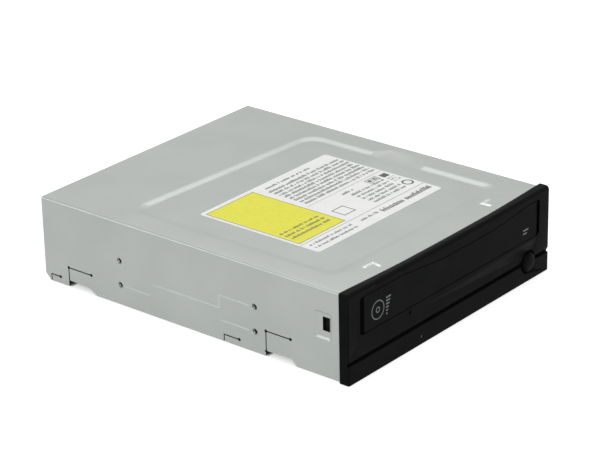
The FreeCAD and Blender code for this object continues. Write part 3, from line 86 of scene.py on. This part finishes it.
def grain(material, size_mm, strength, depth_mm):
    """Bump from noise whose grains are about size_mm wide."""
    place = add(material, "ShaderNodeTexCoord").outputs["Object"]
    noise = add(material, "ShaderNodeTexNoise", {"Vector": place},
                Scale=1 / (size_mm * MM), Detail=2.0)
    return add(material, "ShaderNodeBump", {"Height": noise.outputs["Fac"]},
               Strength=strength, Distance=depth_mm * MM)


def mottled(material, low, high, size_mm):
    """A colour that wanders between two hex colours over patches of about size_mm."""
    place = add(material, "ShaderNodeTexCoord").outputs["Object"]
    noise = add(material, "ShaderNodeTexNoise", {"Vector": place},
                Scale=1 / (size_mm * MM), Detail=3.0)
    ramp = add(material, "ShaderNodeValToRGB", {"Fac": noise.outputs["Fac"]})
    for stop, position, colour in zip(ramp.color_ramp.elements, (0.3, 0.7), (low, high)):
        stop.position = position
        stop.color = linear(colour)
    return ramp


def zinc_coated_steel():
    """Electro-zinc coated sheet, rolled: a dull grey-green metal with a cloudy sheen."""
    material = new_material("zinc_coated_steel")
    # Patches of the passivated coat, 26 mm across.
    coat = mottled(material, "#A6ABA8", "#ACB1AD", 26)
    # Fine rolling lines along the sheet, drawn 0.5 mm wide so that they show.
    place = add(material, "ShaderNodeTexCoord").outputs["Object"]
    stretch = add(material, "ShaderNodeMapping", {"Vector": place},
                  Scale=(1 / (0.5 * MM), 1 / (14 * MM), 1 / (2 * MM)))
    lines = add(material, "ShaderNodeTexNoise", {"Vector": stretch.outputs[0]}, Scale=1, Detail=2)
    sheen = add(material, "ShaderNodeMapRange", {"Value": lines.outputs["Fac"]},
                To_Min=0.27, To_Max=0.36)
    relief = add(material, "ShaderNodeBump", {"Height": lines.outputs["Fac"]},
                 Strength=0.05, Distance=0.02 * MM)
    shader = add(material, "ShaderNodeBsdfPrincipled",
                 {"Base_Color": coat.outputs["Color"], "Roughness": sheen.outputs[0],
                  "Normal": relief.outputs[0]}, Metallic=0.5)
    add(material, "ShaderNodeOutputMaterial", {"Surface": shader.outputs[0]})
    return material


def moulded_plastic(name, low, high, roughness, grain_mm=0.5, strength=0.12, gloss=0.5, ior=1.5):
    """Plastic from a spark-eroded mould: a fine even grain, as glossy as it is asked to be."""
    material = new_material(name)
    colour = mottled(material, low, high, 9)
    relief = grain(material, grain_mm, strength, 0.05)
    shader = add(material, "ShaderNodeBsdfPrincipled",
                 {"Base_Color": colour.outputs["Color"], "Normal": relief.outputs[0]},
                 Roughness=roughness, Specular_IOR_Level=gloss, IOR=ior)
    add(material, "ShaderNodeOutputMaterial", {"Surface": shader.outputs[0]})
    return material


def worked_metal(name, low, high, roughness):
    """Bare or plated metal with fine tool marks, 0.3 mm apart so that they show."""
    material = new_material(name)
    colour = mottled(material, low, high, 3)
    relief = grain(material, 0.3, 0.1, 0.02)
    shader = add(material, "ShaderNodeBsdfPrincipled",
                 {"Base_Color": colour.outputs["Color"], "Normal": relief.outputs[0]},
                 Metallic=1.0, Roughness=roughness)
    add(material, "ShaderNodeOutputMaterial", {"Surface": shader.outputs[0]})
    return material


def coated_paper():
    """White coated label paper: even, faintly fibrous, a soft satin."""
    material = new_material("coated_paper")
    colour = mottled(material, "#F3F4F2", "#F8F9F7", 6)
    relief = grain(material, 0.4, 0.05, 0.02)
    shader = add(material, "ShaderNodeBsdfPrincipled",
                 {"Base_Color": colour.outputs["Color"], "Normal": relief.outputs[0]},
                 Roughness=0.5)
    add(material, "ShaderNodeOutputMaterial", {"Surface": shader.outputs[0]})
    return material


def printing_ink(name, low, high):
    """Offset ink on coated paper, or pad print on plastic: solid, slightly uneven."""
    material = new_material(name)
    colour = mottled(material, low, high, 2)
    shader = add(material, "ShaderNodeBsdfPrincipled", {"Base_Color": colour.outputs["Color"]},
                 Roughness=0.45)
    add(material, "ShaderNodeOutputMaterial", {"Surface": shader.outputs[0]})
    return material


def vulcanised_rubber():
    """Black rubber with a bloom: very matt."""
    material = new_material("vulcanised_rubber")
    colour = mottled(material, "#18181A", "#222224", 2)
    relief = grain(material, 0.4, 0.15, 0.05)
    shader = add(material, "ShaderNodeBsdfPrincipled",
                 {"Base_Color": colour.outputs["Color"], "Normal": relief.outputs[0]},
                 Roughness=0.85)
    add(material, "ShaderNodeOutputMaterial", {"Surface": shader.outputs[0]})
    return material


def lacquered_board():
    """Glass-fibre board under green solder lacquer, with faint traces 9 mm apart below it."""
    material = new_material("lacquered_board")
    place = add(material, "ShaderNodeTexCoord").outputs["Object"]
    bricks = add(material, "ShaderNodeTexBrick", {"Vector": place}, Scale=1 / (9 * MM),
                 Color1=linear("#1E5A38"), Color2=linear("#256642"), Mortar=linear("#2F7A50"),
                 Mortar_Size=0.04)
    relief = add(material, "ShaderNodeBump", {"Height": bricks.outputs["Fac"]},
                 Strength=0.2, Distance=0.03 * MM, invert=True)
    shader = add(material, "ShaderNodeBsdfPrincipled",
                 {"Base_Color": bricks.outputs["Color"], "Normal": relief.outputs[0]},
                 Roughness=0.28, IOR=1.5)
    add(material, "ShaderNodeOutputMaterial", {"Surface": shader.outputs[0]})
    return material


def coated_glass():
    """Pressed glass lens with a blue antireflex coat."""
    material = new_material("coated_glass")
    tint = mottled(material, "#7F9CCB", "#9DB3DC", 2)
    shader = add(material, "ShaderNodeBsdfPrincipled", {"Base_Color": tint.outputs["Color"]},
                 Roughness=0.05, IOR=1.6, Transmission_Weight=0.6)
    add(material, "ShaderNodeOutputMaterial", {"Surface": shader.outputs[0]})
    return material


zinc = zinc_coated_steel()
# The bezel's ABS is nearly matt and the button's is polished a little. The walls of
# the openings and the door's ends are painted near-black: painted shade, as they see less light.
bezel_black = moulded_plastic("abs_fine_grain", "#0F1010", "#141514", 0.45, 0.5, 0.1, 0.08, 1.2)
button_black = moulded_plastic("abs_polished", "#0B0C0C", "#0F1010", 0.35, 0.3, 0.05, 0.08, 1.2)
painted_shade_black = moulded_plastic("abs_painted_shade_rim", "#040404", "#070707", 0.4, 0.3, 0.05, 0.03, 1.2)
# Glass fibre leaves the frame's plastic dull and greyer than the tray's ABS.
frame_black = moulded_plastic("glass_filled_plastic", "#1D1E20", "#26272A", 0.6, 0.7, 0.2)
tray_black = moulded_plastic("tray_abs", "#202124", "#292A2D", 0.5, 0.6, 0.12)
# Acetal gears are cream and slightly waxy, and nylon sockets more yellow, or black.
acetal_white = moulded_plastic("acetal", "#E3DFD3", "#ECE9DF", 0.4, 0.6, 0.05)
socket_white = moulded_plastic("nylon_white", "#DAD6C8", "#E4E1D5", 0.45)
socket_black = moulded_plastic("nylon_black", "#141415", "#1C1C1D", 0.4)
chip_black = moulded_plastic("epoxy_moulding", "#1A1A1C", "#232326", 0.55, 0.2, 0.1)
light_smoke = moulded_plastic("smoked_acrylic", "#2B2620", "#38322A", 0.12, 0.4, 0.02)
paper = coated_paper()
yellow_ink = printing_ink("yellow_ink", "#E6E21C", "#EDEA2A")
dark_ink = printing_ink("black_ink", "#2C2E2F", "#3A3C3D")
grey_ink = printing_ink("fine_print_ink", "#4C5150", "#5E6362")
bezel_ink = printing_ink("pale_pad_print", "#5E6163", "#6A6D6F")
rubber = vulcanised_rubber()
# Ground rods and screws shine; nickel plate, castings and turned parts are duller.
bright_steel = worked_metal("ground_steel", "#B9BBBC", "#C8CACB", 0.22)
can_steel = worked_metal("nickel_plate", "#A9AAA9", "#B7B8B6", 0.32)
cast_metal = worked_metal("die_cast_zinc", "#8B8D90", "#9A9C9F", 0.5)
turned_aluminium = worked_metal("turned_aluminium", "#B2B4B6", "#C2C4C6", 0.3)
pin_gold = worked_metal("gold_flash", "#CDB36A", "#D9C27E", 0.25)
pulley_brass = worked_metal("turned_brass", "#B8954E", "#C6A45D", 0.3)
# Lighter zinc is a painted highlight on the pressed ribs and lines, and near-black steel
# is painted shade in the side walls' slits and holes.
painted_highlight_zinc = worked_metal("painted_highlight_zinc", "#C0C5C1", "#CACECA", 0.4)
# A zinc a little lighter than the sheet: painted highlight on the side lines.
painted_highlight_line_zinc = worked_metal("painted_highlight_line_zinc", "#ABB0AD", "#B2B7B4", 0.45)
# Near-black: painted shade inside the side walls' slits and holes, on their cut edges.
painted_shade_steel = worked_metal("painted_shade_steel", "#161818", "#1E2020", 0.8)
board_green = lacquered_board()
lens_glass = coated_glass()

FINISHES = {
    zinc: ["top_cover", "bottom_cover"],
    bezel_black: ["bezel", "tray_door"],
    button_black: ["eject_button"],
    frame_black: ["main_frame", "lift_frame", "cam_slider", "clamper", "lens_holder"],
    tray_black: ["tray"],
    acetal_white: ["drive_gear", "pulley_gear"],
    socket_white: ["power_header"],
    socket_black: ["data_header", "audio_header", "jumper_block"],
    chip_black: ["board_chips", "eject_switch"],
    light_smoke: ["indicator_light"],
    paper: ["top_label"],
    rubber: ["drive_belt", "dampers", "turntable_mat"],
    bright_steel: ["guide_rods", "lead_screw", "clamper_plate", "bottom_screws",
                   "board_screws", "bridge_screws", "damper_screws"],
    can_steel: ["loading_motor", "feed_motor", "spindle_motor", "clamper_bridge",
                "traverse_chassis", "rod_holders"],
    cast_metal: ["pickup_body"],
    turned_aluminium: ["turntable"],
    pin_gold: ["data_pins", "power_pins"],
    pulley_brass: ["motor_pulley"],
    board_green: ["main_board", "front_board"],
    lens_glass: ["objective_lens"],
}
for material, names in FINISHES.items():
    for name in names:
        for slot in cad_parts[name].material_slots:
            slot.material = material


# Pieces

def home(points):
    """Millimetres from the bezel's back plane to metres from the frame's origin."""
    return (np.asarray(points, float) - (0, HOLES_MIDDLE, 0)) * MM


def new_piece(name, points, faces, material, body, smooth=False):
    mesh = bpy.data.meshes.new(name)
    mesh.from_pydata(home(points).tolist(), [], [list(map(int, face)) for face in faces])
    mesh.materials.append(material)
    if smooth:
        mesh.shade_smooth()
    mesh.update()
    piece = bpy.data.objects.new(name, mesh)
    bpy.context.scene.collection.objects.link(piece)
    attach(piece, body)


CREASE = 32                    # degrees; a steeper edge of a refined piece is sharp
PRESSED, STEEP = 7, 60         # degrees; a pressed rim's turn is between these
FOLDS = (71.0, 39.5)           # the cover's long folds: |x| and z beyond these
SLOPE_STRETCH = (62, 80)       # y where the panel's right slope runs out flatter
SLOPE_EASE, SLOPE_OUT = 6, 7   # eased over this at each end, moved out by this
SLOPE_TOP = (55, 64)           # x of the top of that slope
REAR_CORNERS = (168, 5)        # the cover's cut corners: y behind the first, z below the second
CORNER_RADIUS = 1.4
MERGED = 0.002                 # points nearer than this become one


def keep_rims_crisp(mesh):
    """Sharpens every pressed edge of the cover that isn't on its long folds.

    The rims of the lid's pressed shapes are also marked for rounding."""
    half_width, height = FOLDS
    shell = bmesh.new()
    shell.from_mesh(mesh)
    rounding = shell.edges.layers.float.new("bevel_weight_edge")
    for edge in shell.edges:
        middle = (edge.verts[0].co + edge.verts[1].co) / 2
        on_fold = abs(middle.x) > half_width * MM and middle.z > height * MM
        if on_fold or len(edge.link_faces) != 2:
            continue
        angle = math.degrees(edge.calc_face_angle(0.0))
        if angle > PRESSED:
            edge.smooth = False
            facing_up = min(face.normal.z for face in edge.link_faces) > 0.5
            if angle < STEEP and facing_up and middle.z > height * MM:
                edge[rounding] = 1.0
    shell.to_mesh(mesh)
    shell.free()


def shape_cover(shell):
    """Worked edges of the folded cover.

    Over SLOPE_STRETCH the top of the panel's right slope moves out by SLOPE_OUT, in a
    straight line over SLOPE_EASE at each end. The cut lower rear corners are rounded."""
    start, end = SLOPE_STRETCH
    for y in (start - SLOPE_EASE, start, end, end + SLOPE_EASE):
        lid = [face for face in shell.faces if face.normal.z > 0.3
               and face.calc_center_median().z > FOLDS[1] * MM]
        edges = {edge for face in lid for edge in face.edges}
        verts = {vert for face in lid for vert in face.verts}
        bmesh.ops.bisect_plane(shell, geom=[*verts, *edges, *lid], plane_no=(0, 1, 0),
                               plane_co=(0, (y - HOLES_MIDDLE) * MM, 0), dist=0.001 * MM)
    for vert in shell.verts:
        x, y, z = (value / MM for value in vert.co)
        on_slope = SLOPE_TOP[0] < x < SLOPE_TOP[1] and abs(z - LID_TOP) < 0.02
        if on_slope and start - 0.1 < y + HOLES_MIDDLE < end + 0.1:
            vert.co.x += SLOPE_OUT * MM
    shell.normal_update()
    corners = []
    for edge in shell.edges:
        ends = edge.verts[0].co, edge.verts[1].co
        across = abs(ends[0].x - ends[1].x) > 0.5 * MM and abs(ends[0].y - ends[1].y) < 1e-6
        low_rear = (ends[0].y > (REAR_CORNERS[0] - HOLES_MIDDLE) * MM
                    and max(ends[0].z, ends[1].z) < REAR_CORNERS[1] * MM)
        if across and low_rear and len(edge.link_faces) == 2:
            if math.radians(30) < edge.calc_face_angle(0.0) < math.radians(60):
                corners.append(edge)
    bmesh.ops.bevel(shell, geom=corners, offset=CORNER_RADIUS * MM, segments=4, profile=0.5,
                    affect="EDGES", clamp_overlap=True)


def trim_label(shell):
    """Moves the label's left edge in by 1.6 mm, with its round corners, to where the
    photograph has it: every corner left of x -40 moves."""
    for vert in shell.verts:
        if vert.co.x < -40 * MM:
            vert.co.x += 1.6 * MM


def paint_faces(mesh, material, rule):
    """Gives the faces that a rule picks by outward normal and middle another finish."""
    mesh.materials.append(material)
    count = len(mesh.polygons)
    normals, middles = np.empty(count * 3), np.empty(count * 3)
    mesh.polygons.foreach_get("normal", normals)
    mesh.polygons.foreach_get("center", middles)
    places = middles.reshape(-1, 3) / MM + (0, HOLES_MIDDLE, 0)
    mesh.polygons.foreach_set("material_index",
                              rule(normals.reshape(-1, 3), places).astype(np.int32))


def between(values, low, high):
    return (values > low) & (values < high)


def cut_edges(normal, place):
    """The side walls' sheared edges: beyond x 71.5, facing along the wall, apart from the
    lowest edges and those at the front and the rear. They get the near-black of painted
    shade in the slits and holes."""
    x, y, z = np.abs(place[:, 0]), place[:, 1], place[:, 2]
    return (np.abs(normal[:, 0]) < 0.3) & (x > 71.5) & between(y, 3, 173) & between(z, 1, 35)


def door_rim(normal, place):
    """The tray door's slanted ends and its edges: all but its flat front and its back.
    They get the near-black of painted shade.
    """
    return (np.abs(normal[:, 1]) < 0.99) & (place[:, 1] < -1)


def opening_rim(normal, place):
    """The walls of the bezel's door opening and the bottom of its long groove, which get
    the near-black of painted shade.
    """
    x, y, z = np.abs(place[:, 0]), place[:, 1], place[:, 2]
    opening = (x < 67) & between(z, 20.3, 38.5) & (np.abs(normal[:, 1]) < 0.5) & (y < -1)
    groove = (x < 75) & between(z, 8.5, 11.0) & between(y, -4.6, -2.5)
    return opening | groove


def refined(node, body, material, bevel_mm=0.0, keep_rims=False, shaping=None,
            second=None):
    """A merged copy of a CAD node whose round stretches shade smoothly.

    Edges steeper than CREASE stay sharp, and keep_rims sharpens the pressed rims too.
    A shaping moves the copy's edges. The second is a finish and the rule for its faces.
    The bevel rounds the marked rims, or else every edge steeper than CREASE."""
    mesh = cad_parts[node].data.copy()
    mesh.name = node + "_skin"
    shell = bmesh.new()
    shell.from_mesh(mesh)
    bmesh.ops.remove_doubles(shell, verts=shell.verts, dist=MERGED * MM)
    bmesh.ops.dissolve_limit(shell, angle_limit=math.radians(0.4), verts=shell.verts,
                             edges=shell.edges)
    if shaping:
        shaping(shell)
    shell.to_mesh(mesh)
    shell.free()
    mesh.shade_smooth()
    mesh.set_sharp_from_angle(angle=math.radians(CREASE))
    if keep_rims:
        keep_rims_crisp(mesh)
    mesh.materials.clear()
    mesh.materials.append(material)
    if second:
        paint_faces(mesh, *second)
    piece = bpy.data.objects.new(mesh.name, mesh)
    bpy.context.scene.collection.objects.link(piece)
    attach(piece, body)
    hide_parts(node)
    if bevel_mm:
        edge = piece.modifiers.new("worn_edge", "BEVEL")
        edge.width = bevel_mm * MM
        edge.segments = 2
        edge.limit_method = "WEIGHT" if keep_rims else "ANGLE"
        edge.angle_limit = math.radians(CREASE)
        edge.harden_normals = True


# The cover's slit and hole walls take the painted shade finish.
refined("top_cover", "housing", zinc, 0.9, keep_rims=True,
        shaping=shape_cover, second=(painted_shade_steel, cut_edges))
# The bezel's opening walls and groove and the door's ends take the painted shade finish.
refined("bezel", "housing", bezel_black, second=(painted_shade_black, opening_rim))
refined("tray_door", "tray", bezel_black, 0.12, second=(painted_shade_black, door_rim))
refined("eject_button", "button", button_black, 0.08)
refined("top_label", "housing", paper, shaping=trim_label)


# Print

def rectangles(fields):
    """Corners of upright rectangles, each given as (x0, y0, x1, y1)."""
    x0, y0, x1, y1 = np.asarray(fields, float).T
    return np.stack([np.stack([x0, y0], -1), np.stack([x1, y0], -1),
                     np.stack([x1, y1], -1), np.stack([x0, y1], -1)], 1)


def flat_ring(x, y, inner, outer, count=40):
    """Corners of a ring's fields: radius inner to outer, between angles 2 pi k / count."""
    angle = np.arange(count + 1) * 2 * np.pi / count
    outward = np.stack([np.cos(angle), np.sin(angle)], -1)
    near, far = outward * inner + (x, y), outward * outer + (x, y)
    return np.stack([near[:-1], far[:-1], far[1:], near[1:]], 1)


def printed(name, quads, level, material, body="housing", upright=False):
    """Flat printed fields: (x, y) at one height, or if upright (x, z) at one depth."""
    quads = np.asarray(quads, float).reshape(-1, 2)
    third = np.full(len(quads), level)
    points = [quads[:, 0], third, quads[:, 1]] if upright else [quads[:, 0], quads[:, 1], third]
    faces = np.arange(len(quads)).reshape(-1, 4)
    new_piece(name, np.stack(points, -1), faces, material, body)


def print_row(rng, x0, x1, y, height, word_mm, stroke=0.5):
    """A row of plain upright strokes in word-long groups, from x0 to x1 on the foot line
    y - height / 2.

    A stroke is 0.8 to 1.3 of the stroke size wide, and the gap after it 0.35 to 0.6 of it,
    with 1.7 more where a word ends. Stroke k starts at the sum of the widths and gaps
    before it. Three strokes in ten are full height, and the others 0.62 to 0.8 of it."""
    count = int((x1 - x0) / (stroke * 1.5)) + 4
    widths = stroke * rng.uniform(0.8, 1.3, count)
    gaps = stroke * rng.uniform(0.35, 0.6, count)
    gaps[rng.random(count) < stroke * 1.5 / word_mm] += stroke * 1.7
    starts = x0 + np.concatenate([[0], np.cumsum(widths + gaps)[:-1]])
    tall = height * np.where(rng.random(count) < 0.3, 1.0, rng.uniform(0.62, 0.8, count))
    rows = np.stack([starts, np.full(count, y - height / 2), starts + widths,
                     y - height / 2 + tall], -1)
    return rows[starts + widths < x1]


def frame_lines(x0, y0, x1, y1, line):
    """Four thin rules round a rectangle."""
    return [(x0, y0, x1, y0 + line), (x0, y1 - line, x1, y1),
            (x0, y0, x0 + line, y1), (x1 - line, y0, x1, y1)]


# Blocks of fine rows: x from, x to, the rows' y, height and word length.
FINE_BLOCKS = [(-6.0, 44.6, np.linspace(94.6, 73.4, 8), 2.0, 6.0),
               (14.0, 37.5, (62.4, 59.2, 56.0, 52.8, 49.6), 1.9, 4.0),
               (-41.0, -12.0, (42.2, 38.8), 1.7, 4.0),
               (39.4, 44.4, (61.4, 59.4, 57.4), 1.3, 2.5)]
# Dark rows: x from, x to, y, height, word length and stroke size.
DARK_ROWS = [(-4.0, 28.0, 98.6, 1.7, 4.0, 0.6), (12.0, 20.0, 66.4, 1.9, 3.0, 0.7),
             (8.0, 44.0, 40.6, 3.2, 9.0, 0.9), (-6.0, 6.0, 41.4, 1.8, 3.0, 0.5),
             (-40.0, -13.0, 60.0, 1.7, 5.0, 0.5), (-40.0, -13.0, 56.6, 1.7, 5.0, 0.5),
             (-40.0, -13.0, 53.2, 1.7, 5.0, 0.5)]
YELLOW = (-42.4, 46.8, -10.2, 101.0)
# Rules, frames and small solid fields.
DARK_FIELDS = [
    *frame_lines(*YELLOW, 0.35), *frame_lines(30.0, 64.0, 38.0, 68.0, 0.4),
    (31.0, 65.0, 33.0, 67.0), (34.0, 65.0, 37.0, 65.8), (34.0, 66.2, 37.0, 67.0),
    (39.6, 63.2, 43.8, 66.9), (-43.8, 45.0, 45.4, 45.25), (-8.0, 69.8, 45.4, 70.0),
    *frame_lines(-6.0, 50.4, 2.0, 58.4, 0.5)]
# Each ink lies a hair above the one before, so that no two share a height.
YELLOW_LEVEL, FINE_LEVEL, DARK_LEVEL = 0.01, 0.012, 0.014

rng = np.random.default_rng(4)
printed("label_yellow_field", rectangles([YELLOW]), LABEL_TOP + YELLOW_LEVEL, yellow_ink)
fine_rows = [print_row(rng, x0, x1, y, height, word)
             for x0, x1, places, height, word in FINE_BLOCKS for y in places]
printed("label_fine_print", rectangles(np.concatenate(fine_rows)), LABEL_TOP + FINE_LEVEL,
        grey_ink)
dark_rows = [*(print_row(rng, *row) for row in DARK_ROWS), DARK_FIELDS]
printed("label_dark_print",
        np.concatenate([rectangles(np.concatenate(dark_rows)), flat_ring(41.6, 51.4, 2.0, 2.9)]),
        LABEL_TOP + DARK_LEVEL, dark_ink)

# Plain marks on the door: a disc sign with six bars beside it, and two bars at the right.
left_bars = [(-48.4, z, -45.0 - 0.5 * step, z + 0.7)
             for step, z in enumerate((31.6, 30.1, 28.6, 27.1, 25.6, 24.1))]
door_marks = [flat_ring(-54.0, 28.4, 3.9, 4.4), flat_ring(-54.0, 28.4, 0.9, 1.4, 20),
              rectangles(left_bars),
              rectangles([(53.2, 26.2, 57.4, 26.9), (53.2, 24.6, 56.2, 25.3)])]
printed("door_marks", np.concatenate(door_marks), BEZEL_FACE - 0.01, bezel_ink, "tray",
        True)


# Fine metalwork

SUNK = 0.005                             # how far a rib's foot is below its sheet
RIB_CELLS = 12                           # a rib's cells along each straight run
HOLE_RADIUS, THREAD_DEPTH, PITCH = 1.3, 0.17, 0.5
THREAD_FROM, THREAD_LENGTH = 72.6, 1.2   # from this |x|, and this far inwards


def grid_faces(rows, columns):
    """Corner numbers of the cells of a grid whose points are numbered row by row."""
    first = (np.arange(rows - 1)[:, None] * columns + np.arange(columns - 1)).ravel()
    return np.stack([first, first + columns, first + columns + 1, first + 1], -1)


def on_lid(flat, height):
    """Path points (x, y) laid on the lid, with the height upwards."""
    return np.concatenate([flat, LID_TOP - SUNK + height[..., None]], -1)


def on_side(side):
    """Path points (y, z) laid on the left (-1) or right (1) wall, height outwards."""
    def lay(flat, height):
        out = side * (BODY_WIDTH / 2 - SUNK + height[..., None])
        return np.concatenate([out, flat], -1)
    return lay


def raised_rib(name, paths, half_width, rise, lay, material, inside_out=False):
    """Low pressed ribs along open paths: height is rise * cos(pi u / 2) ** 2 for u from
    -1 to 1 across, times sin(pi v) ** 0.3 for v from 0 to 1 along."""
    u = np.linspace(-1, 1, 9)
    points, faces = [], []
    for path in np.asarray(paths, float):
        along = np.diff(path, axis=0)
        along /= np.linalg.norm(along, axis=1)[:, None]
        side = np.stack([-along[:, 1], along[:, 0]], -1)
        mitre = np.vstack([side[:1], side[:-1] + side[1:], side[-1:]])
        mitre[1:-1] /= (mitre[1:-1] * side[1:]).sum(1)[:, None]
        corners = np.arange(len(path))
        spread = np.linspace(0, len(path) - 1, RIB_CELLS * (len(path) - 1) + 1)
        line, turn = (np.stack([np.interp(spread, corners, values[:, k]) for k in (0, 1)], -1)
                      for values in (path, mitre))
        v = np.linspace(0, 1, len(line))
        height = np.sin(np.pi * v)[:, None] ** 0.3 * np.cos(np.pi * u / 2)[None] ** 2 * rise
        flat = line[:, None] + turn[:, None] * (u * half_width)[None, :, None]
        grid = lay(flat, height)
        quads = grid_faces(*grid.shape[:2]) + sum(map(len, points))
        points.append(grid.reshape(-1, 3))
        faces.append(quads[:, ::-1] if inside_out else quads)
    new_piece(name, np.concatenate(points), np.concatenate(faces), material, "housing",
              smooth=True)


def threads(name, places):
    """Screw threads in the side holes: radius HOLE_RADIUS - THREAD_DEPTH * tri(depth /
    PITCH - angle / 2 pi), where tri falls from 1 to 0 and rises again once a turn."""
    turn = np.linspace(0, 2 * np.pi, 25)
    depth = np.linspace(0, THREAD_LENGTH, 25)
    angle, inward = np.meshgrid(turn, depth)
    wave = np.abs((inward / PITCH - angle / (2 * np.pi)) % 1 * 2 - 1)
    radius = HOLE_RADIUS - THREAD_DEPTH * wave
    facing_right = grid_faces(*angle.shape)[:, [0, 3, 2, 1]]
    points, faces = [], []
    for side, y, z in places:
        tube = np.stack([side * (THREAD_FROM - inward), y + radius * np.cos(angle),
                         z + radius * np.sin(angle)], -1)
        quads = facing_right if side > 0 else facing_right[:, ::-1]
        faces.append(quads + sum(map(len, points)))
        points.append(tube.reshape(-1, 3))
    new_piece(name, np.concatenate(points), np.concatenate(faces), zinc, "housing",
              smooth=True)


# The front corner ribs are in a lighter zinc: a painted highlight on their rises.
raised_rib("lid_angle_ribs",
           [[(side * 46.3, 8.7), (side * 40.0, 8.5), (side * 40.6, 3.6)] for side in (-1, 1)],
           0.95, 0.45, on_lid, painted_highlight_zinc)
# The side holes' places: y from the bezel's back plane, z from the underside.
HOLE_DEPTHS, HOLE_HEIGHTS = (47.4, 126.65), (10.0, 21.84)
low, high = HOLE_HEIGHTS
# Faint pressed lines that join the side holes: level with the holes, and one between.
# They are in a lighter zinc, a painted highlight.
SIDE_LINES = [[(50.2, high), (67.5, high), (67.5, 15.8), (107.0, 15.8)],
              [(50.2, low), (67.5, low)], [(108.3, low), (123.8, low)]]
for side, name in ((-1, "left"), (1, "right")):
    for number, line in enumerate(SIDE_LINES, 1):
        raised_rib(f"{name}_side_line_{number}", [line], 0.4, 0.12, on_side(side), painted_highlight_line_zinc,
                   inside_out=side < 0)
threads("side_hole_threads",
        [(side, y, z) for side in (-1, 1) for y in HOLE_DEPTHS for z in HOLE_HEIGHTS])


# Floor, light and camera; places and sizes here are in metres

FLOOR_REACH = 4.0
BACKDROP_GLOW = 0.55
WHITE = (1, 1, 1, 1)
# Name, place, size and power in watts. Every lamp aims at the middle of the drive.
LAMPS = [("softbox", (0.66, 0.56, 1.12), 0.7, 3),
         ("top", (-0.1, -0.2, 1.4), 1.0, 5.8),
         ("rear_left", (-0.89, 0.78, 0.60), 0.55, 2.4),
         ("left", (-0.95, -0.95, 0.95), 0.6, 8)]
LAMP_AIM = Vector((0, 0, 0.02))
IMAGE_WIDTH, SENSOR_WIDTH = 600, 36.0    # pixels, and millimetres


def looked_at(owner):
    """1 where the camera, a mirror or a lens looks straight at a thing, else 0."""
    path = add(owner, "ShaderNodeLightPath")
    pair = add(owner, "ShaderNodeMath", {0: path.outputs["Is Camera Ray"],
                                         1: path.outputs["Is Glossy Ray"]}, operation="MAXIMUM")
    return add(owner, "ShaderNodeMath", {0: pair.outputs[0],
                                         1: path.outputs["Is Transmission Ray"]},
               operation="MAXIMUM").outputs[0]


def backdrop_white():
    """Matt white sweep: white where it is looked at, and it keeps the shadows."""
    material = new_material("backdrop_white")
    strength = add(material, "ShaderNodeMath", {0: looked_at(material)}, operation="MULTIPLY")
    strength.inputs[1].default_value = BACKDROP_GLOW
    glow = add(material, "ShaderNodeEmission", {"Strength": strength.outputs[0]}, Color=WHITE)
    matt = add(material, "ShaderNodeBsdfDiffuse", Color=linear("#F0F0F0"))
    both = add(material, "ShaderNodeAddShader", {0: glow.outputs[0], 1: matt.outputs[0]})
    add(material, "ShaderNodeOutputMaterial", {"Surface": both.outputs[0]})
    return material


def make_floor():
    mesh = bpy.data.meshes.new("floor")
    mesh.from_pydata([(x * FLOOR_REACH, y * FLOOR_REACH, 0)
                      for x, y in ((-1, -1), (1, -1), (1, 1), (-1, 1))], [], [(0, 1, 2, 3)])
    mesh.materials.append(backdrop_white())
    floor = bpy.data.objects.new("floor", mesh)
    bpy.context.scene.collection.objects.link(floor)


def make_light(name, place, size, power):
    lamp = bpy.data.lights.new(name, "AREA")
    lamp.shape = "SQUARE"
    lamp.size = size
    lamp.energy = power
    light = bpy.data.objects.new(name, lamp)
    bpy.context.scene.collection.objects.link(light)
    light.location = place
    light.rotation_euler = (LAMP_AIM - Vector(place)).to_track_quat("-Z", "Y").to_euler()


def make_world():
    """A white surround that lights the drive at a quarter of how it looks."""
    world = bpy.data.worlds.new("studio")
    world.use_nodes = True
    world.node_tree.nodes.clear()
    strength = add(world, "ShaderNodeMapRange", {"Value": looked_at(world)},
                   To_Min=0.25, To_Max=1.0)
    glow = add(world, "ShaderNodeBackground", {"Strength": strength.outputs[0]}, Color=WHITE)
    add(world, "ShaderNodeOutputWorld", {"Surface": glow.outputs[0]})
    bpy.context.scene.world = world


def make_camera():
    """The camera fitted to the photograph's edges: place, turn and focal length."""
    azimuth, elevation, roll = (math.radians(a) for a in (-50.168, 23.563, -1.234))
    aim = Vector((0, 90 - HOLES_MIDDLE, 20))
    shift_x, shift_y, distance = -6.360, -2.999, 1106.97
    focal_pixels = 2406.3
    back = Vector((math.sin(azimuth) * math.cos(elevation),
                   -math.cos(azimuth) * math.cos(elevation), math.sin(elevation)))
    level = Vector((0, 0, 1)).cross(back).normalized()
    up = back.cross(level)
    right = level * math.cos(roll) + up * math.sin(roll)
    above = -level * math.sin(roll) + up * math.cos(roll)
    place = (aim - right * shift_x - above * shift_y + back * distance) * MM
    turned = Matrix((right, above, back)).transposed().to_4x4()
    lens = bpy.data.cameras.new("camera")
    lens.sensor_width = SENSOR_WIDTH
    lens.lens = focal_pixels / IMAGE_WIDTH * SENSOR_WIDTH
    lens.clip_start, lens.clip_end = 0.05, 20
    camera = bpy.data.objects.new("camera", lens)
    bpy.context.scene.collection.objects.link(camera)
    camera.matrix_world = Matrix.Translation(place) @ turned
    bpy.context.scene.camera = camera


make_floor()
for lamp in LAMPS:
    make_light(*lamp)
make_world()
make_camera()
bpy.context.scene.view_settings.view_transform = "Standard"
